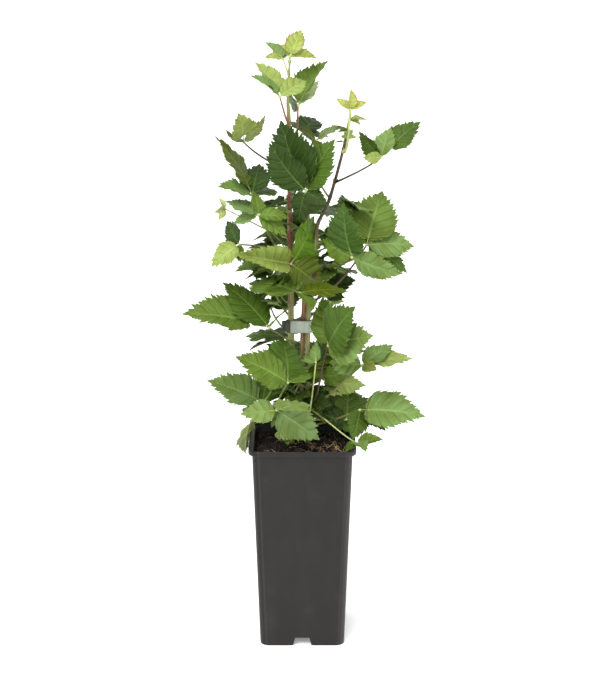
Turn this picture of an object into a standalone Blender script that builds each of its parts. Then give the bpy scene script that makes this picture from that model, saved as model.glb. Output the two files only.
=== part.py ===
"""Potted bramble bush: three canes tied together in a square two-litre pot.

Metres, +Z up. The origin is on the ground, under the middle of the pot, and the front is -Y.
"""

import math
import random

import bmesh
import bpy
import numpy as np
from mathutils.bvhtree import BVHTree

MM = 0.001
GAP = 0.3 * MM  # between solids that touch on the real plant
ROOM = 0.36 * MM  # that each blade keeps to its neighbours

# Pot: square, tapered, thin walled, with a stepped rim. Two channels cross underneath, round a
# small centre foot.
POT_HEIGHT = 0.226
RIM_WIDTH = 0.115
RIM_BAND = 0.006
RIM_CORNER = 0.013
BODY_TOP = 0.107
BODY_FOOT = 0.092
BODY_CORNER = 0.009
WALL = 0.0012
FLOOR = 0.0015
CHANNEL_HEIGHT = 0.009
CHANNEL_TOP = 0.016
CHANNEL_FOOT = 0.020
DRAIN_RADIUS = 0.004
DRAIN_OFFSET = 0.026
CENTRE_FOOT = 0.007

# Compost: fills the pot, with a low flat mound round the canes.
SOIL_SHOULDER = 0.2130
SOIL_TOP = 0.2175
MOUND_INSET = 0.018

# Tape that ties the canes, with its pinched end standing out on the left.
TIE_LOW = 0.3425
TIE_HEIGHT = 0.0130
TIE_THICKNESS = 0.0012
TAIL_REACH = 0.0060

# Canes: the middle line in millimetres from the flat cut at the compost to the tip, and the
# radius at both ends.
CANES = {
    "cane_a": {
        "way": ((-12, 0, 217.8), (-12, 0, 350), (-13, 1, 454), (-14, 1, 565), (-15, 0, 589), (-13, -1, 629)),
        "foot_radius": 3.9,
        "tip_radius": 1.1,
    },
    "cane_b": {
        "way": ((-2, 5, 217.8), (1, 4, 349), (6, 5, 441), (5, 6, 465), (11, 5, 510), (16, 4, 546)),
        "foot_radius": 3.1,
        "tip_radius": 1.1,
    },
    "cane_c": {
        "way": (
            (7, -3, 217.8), (6, -2, 351), (13, 0, 429), (16, 1, 458),
            (28, 2, 484), (42, 2, 535), (50, 3, 576),
        ),
        "foot_radius": 2.9,
        "tip_radius": 1.3,
    },
}
CANE_STEPS = 18
SMOOTH_BELOW = math.radians(35)  # edges flatter than this are shaded smooth

# One compound leaf: a leaf stalk leaves its cane at foot (height, mm) and ends at hub (mm).
# There the end blade points along aim (compass angle from +X, rise), its face turned by
# roll about that line. blades gives each blade's angle in the leaf's plane and its size
# beside length (mm), the end blade's.
LEAVES = {
    "leaf_b1": {
        "cane": "cane_b", "foot": 501, "hub": (3, -33, 499), "aim": (165, 65), "roll": 100, "length": 70,
        "blades": ((0, 1), (10, 0.85, 24, 10), (-50, 0.85, 0, 20), (-135, 0.4, 16, 20), (135, 0.55, 0,
        -10)),
    },
    "leaf_a12": {
        "cane": "cane_a", "foot": 322, "hub": (-15, -69, 305), "aim": (90, 40), "roll": -25, "length": 61,
        "blades": ((0, 1, 0, -10), (80, 1, 16), (-45, 0.6, 0, 30)),
    },
    "leaf_a11": {
        "cane": "cane_a", "foot": 332, "hub": (-35, -33, 355), "aim": (-170, 15), "roll": 55, "length":
        70, "end_stalk": 0.36, "swing": 50,
        "blades": ((0, 1, 8, -30), (-40, 0.95, 8, -20), (-115, 0.55, -8, 60)),
    },
    "leaf_b3": {
        "cane": "cane_b", "foot": 429, "hub": (-12, -33, 423), "aim": (60, 35), "roll": -65, "length": 63,
        "blades": ((0, 1, 8, -40), (125, 1.05, 0, 10), (-75, 0.85, 0, -10)),
    },
    "leaf_c4": {
        "cane": "cane_c", "foot": 417, "hub": (51, -44, 432), "aim": (-125, 70), "roll": 180, "length":
        57, "swing": 50,
        "blades": ((0, 1, 8, 10), (-110, 0.95), (70, 0.7, 0, -10)),
    },
    "leaf_c3": {
        "cane": "cane_c", "foot": 377, "hub": (67, -18, 440), "aim": (65, 55), "roll": -25, "length": 64,
        "blades": ((0, 1, 0, 10), (-70, 0.8, 0, 10), (40, 0.45, -8, -20), (-100, 0.8, -8, 20)),
    },
    "leaf_c7": {
        "cane": "cane_c", "foot": 263, "hub": (63, -43, 317), "aim": (0, 15), "roll": -15, "length": 42,
        "end_stalk": 0.3,
        "blades": ((0, 1), (25, 0.95, 16, -10), (155, 0.95, 8, 50), (-55, 0.5, 8, -20)),
    },
    "leaf_c6": {
        "cane": "cane_c", "foot": 260, "hub": (27, -42, 338), "aim": (-55, 20), "roll": -85, "length": 61,
        "end_stalk": 0.1,
        "blades": ((0, 1), (25, 1.15, 16), (100, 0.9, 0, -20), (-20, 0.5, -8, 20)),
    },
    "leaf_b6": {
        "cane": "cane_b", "foot": 304, "hub": (-27, -60, 273), "aim": (10, -35), "roll": 45, "length": 50,
        "blades": ((0, 1, 0, 40), (-80, 1.05, 0, -20), (120, 0.8, 0, -40)),
    },
    "leaf_b8": {
        "cane": "cane_b", "foot": 244, "hub": (-56, -1, 243), "aim": (125, -60), "roll": 20, "length": 41,
        "swing": -35,
        "blades": ((0, 1, 0, 20),),
    },
    "leaf_c9": {
        "cane": "cane_c", "foot": 239, "hub": (61, -36, 266), "aim": (-15, 5), "roll": -45, "length": 63,
        "swing": 35,
        "blades": ((0, 1, 0, 10), (-30, 0.55, -8, 30), (-90, 0.55, 8, 40)),
    },
    "leaf_a6": {
        "cane": "cane_a", "foot": 437, "hub": (-52, -19, 493), "aim": (160, 65), "roll": 5, "length": 61,
        "end_stalk": 0.2,
        "blades": ((0, 1, 0, -10), (-45, 0.75, 8, 60), (55, 0.7, -8, -30), (-85, 0.75, 8, 50)),
    },
    "leaf_c2": {
        "cane": "cane_c", "foot": 503, "hub": (82, -4, 530), "aim": (20, 40), "roll": -40, "length": 42,
        "end_stalk": 0.36, "swing": -50,
        "blades": ((0, 1, 8, 10), (30, 0.8, 16, 10), (95, 0.85, 24, 60), (-195, 0.5, 40, 60)),
    },
    "leaf_a4": {
        "cane": "cane_a", "foot": 548, "hub": (-4, 0, 583), "aim": (0, 65), "roll": -30, "length": 50,
        "blades": ((0, 1), (15, 0.7, -16, -10), (95, 0.7, 0, 40)),
    },
    "leaf_a7": {
        "cane": "cane_a", "foot": 419, "hub": (-45, -44, 476), "aim": (150, 25), "roll": 50, "length": 39,
        "blades": ((0, 1, 0, -40), (40, 0.75, -8, -20), (-50, 0.7, 8, -50), (-145, 0.8, 0, 20), (185, 0.9,
        -8, 20)),
    },
    "leaf_b4": {
        "cane": "cane_b", "foot": 390, "hub": (-3, -46, 395), "aim": (140, 10), "roll": 15, "length": 67,
        "blades": ((0, 1), (-120, 0.8), (155, 0.55, 8, 30)),
    },
    "leaf_a9": {
        "cane": "cane_a", "foot": 434, "hub": (-65, -37, 444), "aim": (-165, -30), "roll": 50, "length":
        34,
        "blades": ((0, 1, 0, -10), (-90, 0.95, 0, 40), (55, 0.55, 0, -30)),
    },
    "leaf_a13": {
        "cane": "cane_a", "foot": 308, "hub": (-44, 3, 263), "aim": (-180, 30), "roll": 30, "length": 58,
        "blades": ((0, 1), (-85, 0.8, 0, 10), (60, 0.65, 16, -60)),
    },
    "leaf_a3": {
        "cane": "cane_a", "foot": 566, "hub": (-23, -44, 596), "aim": (130, 50), "roll": -5, "length": 46,
        "young": True,
        "blades": ((0, 1), (50, 0.8, 16, -10), (-70, 0.85, 24, 10)),
    },
    "leaf_a5": {
        "cane": "cane_a", "foot": 518, "hub": (-61, 7, 544), "aim": (-90, 35), "roll": 145, "length": 37,
        "end_stalk": 0.42,
        "blades": ((0, 1), (-65, 0.95), (45, 0.65, -32, 40)),
    },
    "leaf_c8": {
        "cane": "cane_c", "foot": 248, "hub": (21, -3, 293), "aim": (-10, -20), "roll": -105, "length":
        45,
        "blades": ((0, 1, -8, -10), (40, 0.75, 16), (110, 0.85, 0, -30), (-150, 0.5, 0, -20)),
    },
    "leaf_c10": {
        "cane": "cane_c", "foot": 245, "hub": (48, 6, 243), "aim": (65, 75), "roll": -20, "length": 35,
        "blades": ((0, 1), (50, 1.05, -16, -10), (-25, 0.75, -8, 30), (85, 0.8, 32)),
    },
    "leaf_c11": {
        "cane": "cane_c", "foot": 257, "hub": (57, -59, 237), "aim": (-75, 10), "roll": -5, "length": 29,
        "young": True,
        "blades": ((0, 1), (60, 0.95, 8, -50), (-55, 0.65, -8, 30)),
    },
    "leaf_a1": {
        "cane": "cane_a", "foot": 628, "hub": (-13, -6, 633), "aim": (55, 55), "roll": -20, "length": 33,
        "young": True,
        "blades": ((0, 1, 0, -10), (-65, 0.85, -8, 20), (45, 0.7, -8, -20)),
    },
    "leaf_a2": {
        "cane": "cane_a", "foot": 613, "hub": (-20, -10, 631), "aim": (145, 45), "roll": 5, "length": 26,
        "swing": 35, "young": True,
        "blades": ((0, 1, 0, 10), (75, 0.9, 8, -10), (-50, 0.95, -8, 20)),
    },
    "leaf_b2": {
        "cane": "cane_b", "foot": 531, "hub": (14, -7, 548), "aim": (40, 0), "roll": -20, "length": 31,
        "blades": ((0, 1, 32, 60), (90, 0.9, 8, -60), (-115, 0.65)),
    },
    "leaf_c1": {
        "cane": "cane_c", "foot": 535, "hub": (49, -10, 580), "aim": (140, 100), "roll": 40, "length": 19,
        "young": True,
        "blades": ((0, 1, 0, -20), (55, 0.95, -8, -40), (-55, 1, 0, 50)),
    },
    "leaf_a10": {
        "cane": "cane_a", "foot": 375, "hub": (-40, 16, 407), "aim": (-155, 10), "roll": 25, "length": 31,
        "blades": ((0, 1), (-55, 1.05, 0, 20), (50, 1, 16, -10)),
    },
    "leaf_c5": {
        "cane": "cane_c", "foot": 361, "hub": (23, 32, 383), "aim": (-15, 25), "roll": -60, "length": 33,
        "blades": ((0, 1, -8), (-50, 0.85, 8, -40), (45, 1, 8, 10)),
    },
    "leaf_b5": {
        "cane": "cane_b", "foot": 223, "hub": (14, -46, 321), "aim": (40, 90), "roll": -25, "length": 20,
        "young": True,
        "blades": ((0, 1, 0, -10), (75, 0.8, 0, -20)),
    },
    "leaf_b7": {
        "cane": "cane_b", "foot": 285, "hub": (-24, -48, 248), "aim": (65, -20), "roll": 60, "length": 22,
        "young": True,
        "blades": ((0, 1, -32, 40), (40, 0.8)),
    },
    "leaf_a8": {
        "cane": "cane_a", "foot": 443, "hub": (-81, -5, 476), "aim": (-125, -5), "roll": 85, "length": 16,
        "swing": -50, "young": True,
        "blades": ((0, 1, 8), (45, 0.85, -8, -30), (-70, 0.85, 0, 10)),
    },
}

# Rear leaves, hidden from the front, are dealt out by rule inside the crown's own outline.
REAR_LEAVES = 22
REAR_TRIES = 9000
REAR_SEED = 11
REAR_REACH = (0.030, 0.075)
REAR_LENGTH = (0.050, 0.070)
REAR_HEIGHTS = {"cane_a": (0.232, 0.56), "cane_b": (0.232, 0.50), "cane_c": (0.232, 0.52)}
REAR_SPACING = 0.040
# Height, left and right edge of the dense part of the crown, seen from a little above.
CROWN = (
    (0.215, -0.056, 0.075),
    (0.245, -0.066, 0.095),
    (0.290, -0.050, 0.062),
    (0.315, -0.060, 0.085),
    (0.345, -0.075, 0.062),
    (0.380, -0.074, 0.050),
    (0.420, -0.068, 0.092),
    (0.465, -0.060, 0.088),
    (0.495, -0.040, 0.040),
    (0.550, -0.034, 0.034),
    (0.590, -0.020, 0.010),
)
VIEW_SLOPE = 0.27
CROWN_DEPTH = 0.122

# The blade: share of its length and of its half width at each station, its droop, the lift
# of its edges over the midrib, and its width beside its length.
BLADE = ((0.0, 0.10), (0.15, 0.74), (0.40, 1.0), (0.72, 0.56))
SMALL_BLADE = ((0.0, 0.10), (0.22, 0.92), (0.56, 0.84))
SMALL_LENGTH = 0.042
DROOP = 0.20
FOLD = 0.16
END_WIDTH, SIDE_WIDTH, LOW_WIDTH = 0.78, 0.70, 0.62
END_STALK, SIDE_STALK = 0.12, 0.05
THICKNESS = 0.014
LEAST_THICKNESS = 0.0009
STALK_RADIUS = 0.75 * MM
PETIOLE_RADII = (1.15 * MM, 0.90 * MM)
# Tried in turn, in degrees, until a blade is clear of what already stands there.
LIFTS = (0, 8, -8, 16, -16, 24, -24, 32, -32)
TURNS = (0, 20, -20)
# Height in metres and side angle by which a leaf stalk may leave its cane elsewhere.
WAYS_OUT = (
    (0, 0), (0.004, 0), (-0.004, 0), (0.008, 0), (-0.008, 0), (0, 35), (0, -35), (0.008, 35), (-0.008, -35),
)


def clear_scene():
    for obj in list(bpy.data.objects):
        bpy.data.objects.remove(obj, do_unlink=True)
    for collection in list(bpy.data.collections):
        bpy.data.collections.remove(collection)


def make_material(name, colour, roughness):
    material = bpy.data.materials.new(name)
    material.use_nodes = True
    shader = material.node_tree.nodes["Principled BSDF"]
    shader.inputs["Base Color"].default_value = (*colour, 1.0)
    shader.inputs["Roughness"].default_value = roughness
    shader.inputs["Metallic"].default_value = 0.0
    return material


def put(name, data, collection, material=None):
    obj = bpy.data.objects.new(name, data)
    collection.objects.link(obj)
    if material:
        data.materials.append(material)
    return obj


def hide_cutter(obj):
    obj.hide_render = True
    obj.display_type = "WIRE"
    return obj


def mesh_of(name, points, faces):
    mesh = bpy.data.meshes.new(name)
    mesh.from_pydata([tuple(p) for p in points], [], [tuple(f) for f in faces])
    bm = bmesh.new()
    bm.from_mesh(mesh)
    bmesh.ops.recalc_face_normals(bm, faces=bm.faces)
    bm.to_mesh(mesh)
    bm.free()
    return mesh


def tapered_box(name, low, low_half, high, high_half, corner, segments=5):
    """A cube drawn to the two half widths, its upright edges rounded."""
    bm = bmesh.new()
    bmesh.ops.create_cube(bm, size=2.0)
    for vert in bm.verts:
        top = vert.co.z > 0
        half = high_half if top else low_half
        vert.co = (vert.co.x * half, vert.co.y * half, high if top else low)
    if corner > 0:
        upright = [e for e in bm.edges if abs(e.verts[0].co.z - e.verts[1].co.z) > (high - low) / 2]
        bmesh.ops.bevel(bm, geom=upright, offset=corner, segments=segments, profile=0.5, affect="EDGES")
    mesh = bpy.data.meshes.new(name)
    bm.to_mesh(mesh)
    bm.free()
    return mesh


def channel_block(name, height, top, foot, low, along_x, length=0.16):
    """A long block whose sides lean in, from half width foot at the ground to top at height."""
    bm = bmesh.new()
    bmesh.ops.create_cube(bm, size=2.0)
    lean = (foot - top) / height
    for vert in bm.verts:
        z = height if vert.co.z > 0 else low
        half = foot - lean * z
        across, along = vert.co.y * half, vert.co.x * length / 2
        vert.co = (along, across, z) if along_x else (across, along, z)
    bmesh.ops.recalc_face_normals(bm, faces=bm.faces)
    mesh = bpy.data.meshes.new(name)
    bm.to_mesh(mesh)
    bm.free()
    return mesh


def round_block(name, radius, height):
    bm = bmesh.new()
    bmesh.ops.create_cone(bm, cap_ends=True, segments=14, radius1=radius, radius2=radius, depth=height)
    mesh = bpy.data.meshes.new(name)
    bm.to_mesh(mesh)
    bm.free()
    return mesh


def boolean(obj, other, operation):
    modifier = obj.modifiers.new(operation.lower() + "_" + other.name, "BOOLEAN")
    modifier.operation = operation
    modifier.object = other
    return modifier


def apply_modifiers(obj):
    graph = bpy.context.evaluated_depsgraph_get()
    mesh = bpy.data.meshes.new_from_object(obj.evaluated_get(graph))
    obj.modifiers.clear()
    obj.data = mesh


def build_pot(parts, cutters, material):
    step = POT_HEIGHT - RIM_BAND
    body_half, foot_half, rim_half = BODY_TOP / 2, BODY_FOOT / 2, RIM_WIDTH / 2
    lean = (body_half - foot_half) / step
    pot = put("pot", tapered_box("pot", 0, foot_half, step + 0.0006, body_half, BODY_CORNER), parts, material)
    rim = tapered_box("rim_band", step, rim_half - 0.0004, POT_HEIGHT, rim_half, RIM_CORNER)
    rim = hide_cutter(put("rim_band", rim, cutters))
    inside_top = step + WALL
    cavity = hide_cutter(put("cavity", tapered_box("cavity", FLOOR, foot_half - WALL, inside_top,
                                                    body_half - WALL, BODY_CORNER - WALL), cutters))
    for along_x in (True, False):
        ridge = channel_block("ridge", CHANNEL_HEIGHT + WALL, CHANNEL_TOP / 2 + WALL,
                              CHANNEL_FOOT / 2 + WALL, -0.001, along_x)
        ridge = put("ridge_x" if along_x else "ridge_y", ridge, cutters)
        boolean(cavity, hide_cutter(ridge), "DIFFERENCE")
    rim_inside = tapered_box("rim_inside", inside_top - 0.0004, rim_half - WALL - 0.0004,
                             POT_HEIGHT + 0.002, rim_half - WALL, RIM_CORNER - WALL)
    rim_inside = hide_cutter(put("rim_inside", rim_inside, cutters))
    boolean(pot, rim, "UNION")
    boolean(pot, cavity, "DIFFERENCE")
    boolean(pot, rim_inside, "DIFFERENCE")
    for along_x in (True, False):
        tunnel = put("tunnel_x" if along_x else "tunnel_y", channel_block(
            "tunnel", CHANNEL_HEIGHT, CHANNEL_TOP / 2, CHANNEL_FOOT / 2, -0.002, along_x), cutters)
        boolean(pot, hide_cutter(tunnel), "DIFFERENCE")
    for i, angle in enumerate(np.radians((0, 90, 180, 270))):
        drain = hide_cutter(put(f"drain_{i}", round_block("drain", DRAIN_RADIUS, 0.008), cutters))
        drain.location = (math.cos(angle) * DRAIN_OFFSET, math.sin(angle) * DRAIN_OFFSET,
                          CHANNEL_HEIGHT + WALL / 2)
        boolean(pot, drain, "DIFFERENCE")
    foot_height = CHANNEL_HEIGHT + WALL / 2
    foot = hide_cutter(put("centre_foot", round_block("centre_foot", CENTRE_FOOT, foot_height), cutters))
    foot.location.z = foot_height / 2
    boolean(pot, foot, "UNION")
    soil_half = foot_half - WALL - GAP
    soil = tapered_box("soil", FLOOR + GAP, soil_half, SOIL_SHOULDER,
                       soil_half + lean * (SOIL_SHOULDER - FLOOR - GAP), BODY_CORNER - WALL)
    soil = put("soil", soil, parts)
    bm = bmesh.new()
    bm.from_mesh(soil.data)
    top = max(bm.faces, key=lambda face: face.calc_center_median().z)
    bmesh.ops.inset_region(bm, faces=[top], thickness=MOUND_INSET, use_even_offset=True)
    for vert in top.verts:
        vert.co.z = SOIL_TOP
    bm.to_mesh(soil.data)
    bm.free()
    for along_x in (True, False):
        clear = put("clear_x" if along_x else "clear_y", channel_block(
            "clear", CHANNEL_HEIGHT + WALL + GAP, CHANNEL_TOP / 2 + WALL + GAP, CHANNEL_FOOT / 2 + WALL + GAP,
            -0.003, along_x), cutters)
        boolean(soil, hide_cutter(clear), "DIFFERENCE")
    return pot, soil


def smooth_path(way, count):
    """Catmull-Rom through the given points."""
    way = np.asarray(way, float)
    ends = np.vstack([2 * way[0] - way[1], way, 2 * way[-1] - way[-2]])
    u = np.linspace(0, len(way) - 1, count)
    i = np.minimum(u.astype(int), len(way) - 2)
    t = (u - i)[:, None]
    a, b, c, d = ends[i], ends[i + 1], ends[i + 2], ends[i + 3]
    return 0.5 * (2 * b + (c - a) * t + (2 * a - 5 * b + 4 * c - d) * t**2 + (3 * b - a - 3 * c + d) * t**3)


def build_cane(name, size, parts, material):
    path = smooth_path(size["way"], CANE_STEPS) * MM
    radii = np.linspace(size["foot_radius"], size["tip_radius"], CANE_STEPS) * MM
    curve = bpy.data.curves.new(name, "CURVE")
    curve.dimensions = "3D"
    curve.bevel_depth = MM
    curve.bevel_resolution = 1
    curve.use_fill_caps = True
    spline = curve.splines.new("POLY")
    spline.points.add(CANE_STEPS - 1)
    for point, place, radius in zip(spline.points, path, radii):
        point.co = (*place, 1.0)
        point.radius = radius / MM
    return put(name, curve, parts, material), path, radii


def build_tie(canes, parts, cutters, material):
    """A band round the hull of the three canes, and its flat end on the left."""
    middle = TIE_LOW + TIE_HEIGHT / 2
    rounds = [cane_at(canes[name], middle) for name in CANES]
    outline = []
    for angle in np.linspace(0, 2 * math.pi, 28, endpoint=False):
        way = np.array((math.cos(angle), math.sin(angle)))
        place, radius = max(rounds, key=lambda c: c[0][:2] @ way + c[1])
        outline.append(place[:2] + way * (radius + 0.0008))
    count = len(outline)
    points = [(x, y, z) for z in (TIE_LOW, TIE_LOW + TIE_HEIGHT) for x, y in outline]
    faces = [(j, (j + 1) % count, count + (j + 1) % count, count + j) for j in range(count)]
    mesh = bpy.data.meshes.new("tie")
    mesh.from_pydata(points, [], faces)
    tie = put("tie", mesh, parts, material)
    shell = tie.modifiers.new("thickness", "SOLIDIFY")
    shell.thickness = TIE_THICKNESS
    shell.offset = 1.0
    left, depth, radius = rounds[0][0][0], rounds[0][0][1], rounds[0][1]
    near = left - radius - 0.0010
    bm = bmesh.new()
    bmesh.ops.create_cube(bm, size=1.0)
    mesh = bpy.data.meshes.new("tie_end")
    bm.to_mesh(mesh)
    bm.free()
    tail = put("tie_end", mesh, cutters)
    tail.scale = (TAIL_REACH, 0.0022, TIE_HEIGHT - 0.0014)
    tail.location = (near - TAIL_REACH / 2, depth - 0.0006, middle)
    boolean(tie, hide_cutter(tail), "UNION")
    return tie


def cane_at(cane, height):
    path, radii = cane
    place = np.array([np.interp(height, path[:, 2], path[:, i]) for i in (0, 1)] + [height])
    return place, float(np.interp(height, path[:, 2], radii))


def unit(vector):
    return vector / np.linalg.norm(vector)


def aim_frame(azimuth, rise, roll):
    """The line that the end blade follows, the leaf's left, and its face."""
    a, e, r = np.radians((azimuth, rise, roll))
    aim = np.array((math.cos(e) * math.cos(a), math.cos(e) * math.sin(a), math.sin(e)))
    up = np.array((-math.sin(e) * math.cos(a), -math.sin(e) * math.sin(a), math.cos(e)))
    face = math.cos(r) * up + math.sin(r) * np.cross(up, aim)
    return aim, np.cross(face, aim), face


def blade_frame(leaf, angle, lift, turn):
    aim, left, face = leaf
    angle, lift, turn = np.radians((angle, lift, turn))
    along = math.cos(lift) * (math.cos(angle) * aim + math.sin(angle) * left) + math.sin(lift) * face
    up = unit(face - along * (face @ along))
    up = math.cos(turn) * up + math.sin(turn) * np.cross(up, along)
    return along, up, np.cross(up, along)


def blade_solid(hub, frame, length, width, stalk):
    """Stalk and blade in one: a four-cornered section (edge, top, edge, underside) that ends in a point."""
    along, up, left = frame
    thick = max(LEAST_THICKNESS, THICKNESS * length)
    start, base = hub - along * 0.2 * MM, hub + along * stalk * length
    rings = [(start, 0.65 * MM, 0.0, 0.65 * MM)]
    for share, wide in BLADE if length > SMALL_LENGTH else SMALL_BLADE:
        centre = base + along * length * (share - 0.03 * share**2) - up * DROOP * length * share**2
        half = max(STALK_RADIUS, width * length / 2 * wide)
        tall = max(thick / 2, STALK_RADIUS * (1 - 6 * share))
        rings.append((centre, half, FOLD * (half - STALK_RADIUS), tall))
    points = []
    for centre, half, fold, tall in rings:
        points += [centre + left * half + up * fold, centre + up * tall]
        points += [centre - left * half + up * fold, centre - up * tall]
    points.append(base + along * length * 0.97 - up * DROOP * length)
    faces = [(0, 3, 2, 1)]
    for k in range(len(rings) - 1):
        faces += [(4 * k + j, 4 * k + (j + 1) % 4, 4 * k + 4 + (j + 1) % 4, 4 * k + 4 + j) for j in range(4)]
    last = 4 * (len(rings) - 1)
    faces += [(last + j, last + (j + 1) % 4, last + 4) for j in range(4)]
    return np.array(points), triangles(faces)


def hub_solid(hub, axis, radius):
    """The small swelling where the blades' stalks meet."""
    side = unit(np.cross(axis, (0.3, 1.0, 0.2)))
    other = np.cross(axis, side)
    points = [hub + axis * radius * 1.2, hub - axis * radius * 1.2, hub + side * radius, hub + other * radius,
              hub - side * radius, hub - other * radius]
    faces = [(0, 2, 3), (0, 3, 4), (0, 4, 5), (0, 5, 2), (1, 3, 2), (1, 4, 3), (1, 5, 4), (1, 2, 5)]
    return np.array(points), faces


def petiole_solid(cane, height, hub, aim, swing):
    """Three-sided leaf stalk: from GAP off the cane, straight out, then bending to the hub."""
    place, radius = cane_at(cane, height)
    out = (hub - place) * (1, 1, 0)
    out = unit(out) if np.linalg.norm(out) > 0.5 * MM else np.array((0.0, -1.0, 0.0))
    c, s = math.cos(math.radians(swing)), math.sin(math.radians(swing))
    out = np.array((c * out[0] - s * out[1], s * out[0] + c * out[1], 0.0))
    start = place + out * (radius + GAP)
    first = start + out * 2 * MM
    reach = np.linalg.norm(hub - start)
    straight = unit(hub - first)
    bend = first + unit(out * 0.5 + straight * 0.8) * reach * 0.33
    ease = hub - unit(straight * 0.8 + aim * 0.3 + (0, 0, 0.15)) * reach * 0.33
    t = np.linspace(0, 1, 4)[:, None]
    curve = (1 - t) ** 3 * first + 3 * (1 - t) ** 2 * t * bend + 3 * (1 - t) * t**2 * ease + t**3 * hub
    path = np.vstack([start, curve])
    radii = np.linspace(*PETIOLE_RADII, len(path))
    tangents = np.gradient(path, axis=0)
    tangents /= np.linalg.norm(tangents, axis=1)[:, None]
    side = unit(np.cross(tangents[0], (0, 1, 0) if abs(tangents[0][1]) < 0.9 else (1, 0, 0)))
    points = []
    for centre, wide, way in zip(path, radii, tangents):
        side = unit(side - way * (side @ way))
        other = np.cross(way, side)
        for a in np.radians((0, 120, 240)):
            points.append(centre + wide * (math.cos(a) * side + math.sin(a) * other))
    faces = [(2, 1, 0), tuple(len(points) - 3 + j for j in range(3))]
    for k in range(len(path) - 1):
        faces += [(3 * k + j, 3 * k + (j + 1) % 3, 3 * k + 3 + (j + 1) % 3, 3 * k + 3 + j) for j in range(3)]
    return np.array(points), triangles(faces)


def triangles(faces):
    return [(face[0], face[j], face[j + 1]) for face in faces for j in range(1, len(face) - 1)]


class Space:
    """What already stands, so that nothing new runs into it."""

    def __init__(self):
        self.solids = []

    def add(self, name, points, faces):
        tree = BVHTree.FromPolygons([tuple(p) for p in points], [tuple(f) for f in faces])
        self.solids.append((name, tree, points, points.min(axis=0), points.max(axis=0)))

    def clear(self, points, faces, near=None):
        low, high = points.min(axis=0) - ROOM, points.max(axis=0) + ROOM
        tree = BVHTree.FromPolygons([tuple(p) for p in points], [tuple(f) for f in faces])
        middles = [points[list(f)].mean(axis=0) for f in faces]
        for name, other, corners, least, most in self.solids:
            if (low > most).any() or (high < least).any():
                continue
            if tree.overlap(other):
                return False
            keep = GAP * 0.93 if name == near else ROOM
            if any(other.find_nearest(tuple(p), keep)[0] is not None for p in (*points, *middles)):
                return False
            inside = corners[((corners > low) & (corners < high)).all(axis=1)]
            if any(tree.find_nearest(tuple(p), keep)[0] is not None for p in inside):
                return False
        return True


def blade_width(angle, size):
    """The end blade is the widest; small blades behind the hub are the narrowest."""
    return END_WIDTH if angle == 0 else SIDE_WIDTH if abs(angle) <= 90 or size >= 1 else LOW_WIDTH


def grow_leaf(space, canes, leaf):
    """The leaf's solids, or None where its stalk finds no way out. A blade with no room is left off."""
    hub = np.array(leaf["hub"]) * MM
    frame = aim_frame(*leaf["aim"], leaf["roll"])
    length = leaf["length"] * MM
    cane = canes[leaf["cane"]]
    for shift, swing in WAYS_OUT:
        height = min(max(leaf["foot"] * MM + shift, SOIL_TOP + 0.004), cane[0][-1, 2] - 0.0015)
        stalk = petiole_solid(cane, height, hub, frame[0], leaf.get("swing", 0) + swing)
        if space.clear(*stalk, near=leaf["cane"]):
            break
    else:
        return None
    solids = [stalk, hub_solid(hub, frame[0], (1.7 if length > 0.035 else 1.3) * MM)]
    kept = Space()
    for angle, size, *own in leaf["blades"]:
        own_lift, own_turn = (*own, 0, 0)[:2]
        narrow = 0.85 if leaf.get("young") else 1.0
        reach = leaf.get("end_stalk", END_STALK) if angle == 0 else SIDE_STALK
        for lift in LIFTS:
            tried = None
            for turn in TURNS:
                way = blade_frame(frame, angle, own_lift + lift, own_turn + turn)
                blade = blade_solid(hub, way, length * size, blade_width(angle, size) * narrow, reach)
                beyond = (blade[0][8:], [tuple(i - 8 for i in f) for f in blade[1] if min(f) >= 8])
                if space.clear(*blade) and kept.clear(*beyond):
                    tried = blade
                    break
            if tried:
                solids.append(tried)
                kept.add("blade", *beyond)
                break
    return solids


def keep_outer_body(mesh):
    """Drops the loose scraps, and fills the hollows, that fusing leaves."""
    bm = bmesh.new()
    bm.from_mesh(mesh)
    bmesh.ops.remove_doubles(bm, verts=bm.verts, dist=1e-6)
    bmesh.ops.triangulate(bm, faces=bm.faces)
    left = set(bm.faces)
    bodies = []
    while left:
        grown, edge = set(), [left.pop()]
        while edge:
            face = edge.pop()
            grown.add(face)
            for near in {other for side in face.edges for other in side.link_faces}:
                if near in left:
                    left.remove(near)
                    edge.append(near)
        corners = np.array([[v.co[:] for v in face.verts] for face in grown])
        bodies.append((np.linalg.det(corners).sum() / 6, len(bodies), grown))
    largest = max(bodies)[2]
    bmesh.ops.delete(bm, geom=[face for face in bm.faces if face not in largest], context="FACES")
    bm.to_mesh(mesh)
    bm.free()


def join_mass(name, solids, parts, material):
    """One closed body from the stalk, the hub and the blades."""
    bunch = bpy.data.collections.new(name + "_bunch")
    bpy.context.scene.collection.children.link(bunch)
    mass = put(name, mesh_of(name, *solids[0]), parts, material)
    for i, solid in enumerate(solids[1:]):
        put(f"{name}_{i}", mesh_of(f"{name}_{i}", *solid), bunch)
    union = mass.modifiers.new("union", "BOOLEAN")
    union.operation = "UNION"
    union.operand_type = "COLLECTION"
    union.collection = bunch
    union.solver = "MANIFOLD"
    apply_modifiers(mass)
    keep_outer_body(mass.data)
    for obj in list(bunch.objects):
        bpy.data.objects.remove(obj, do_unlink=True)
    bpy.data.collections.remove(bunch)
    return mass


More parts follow.
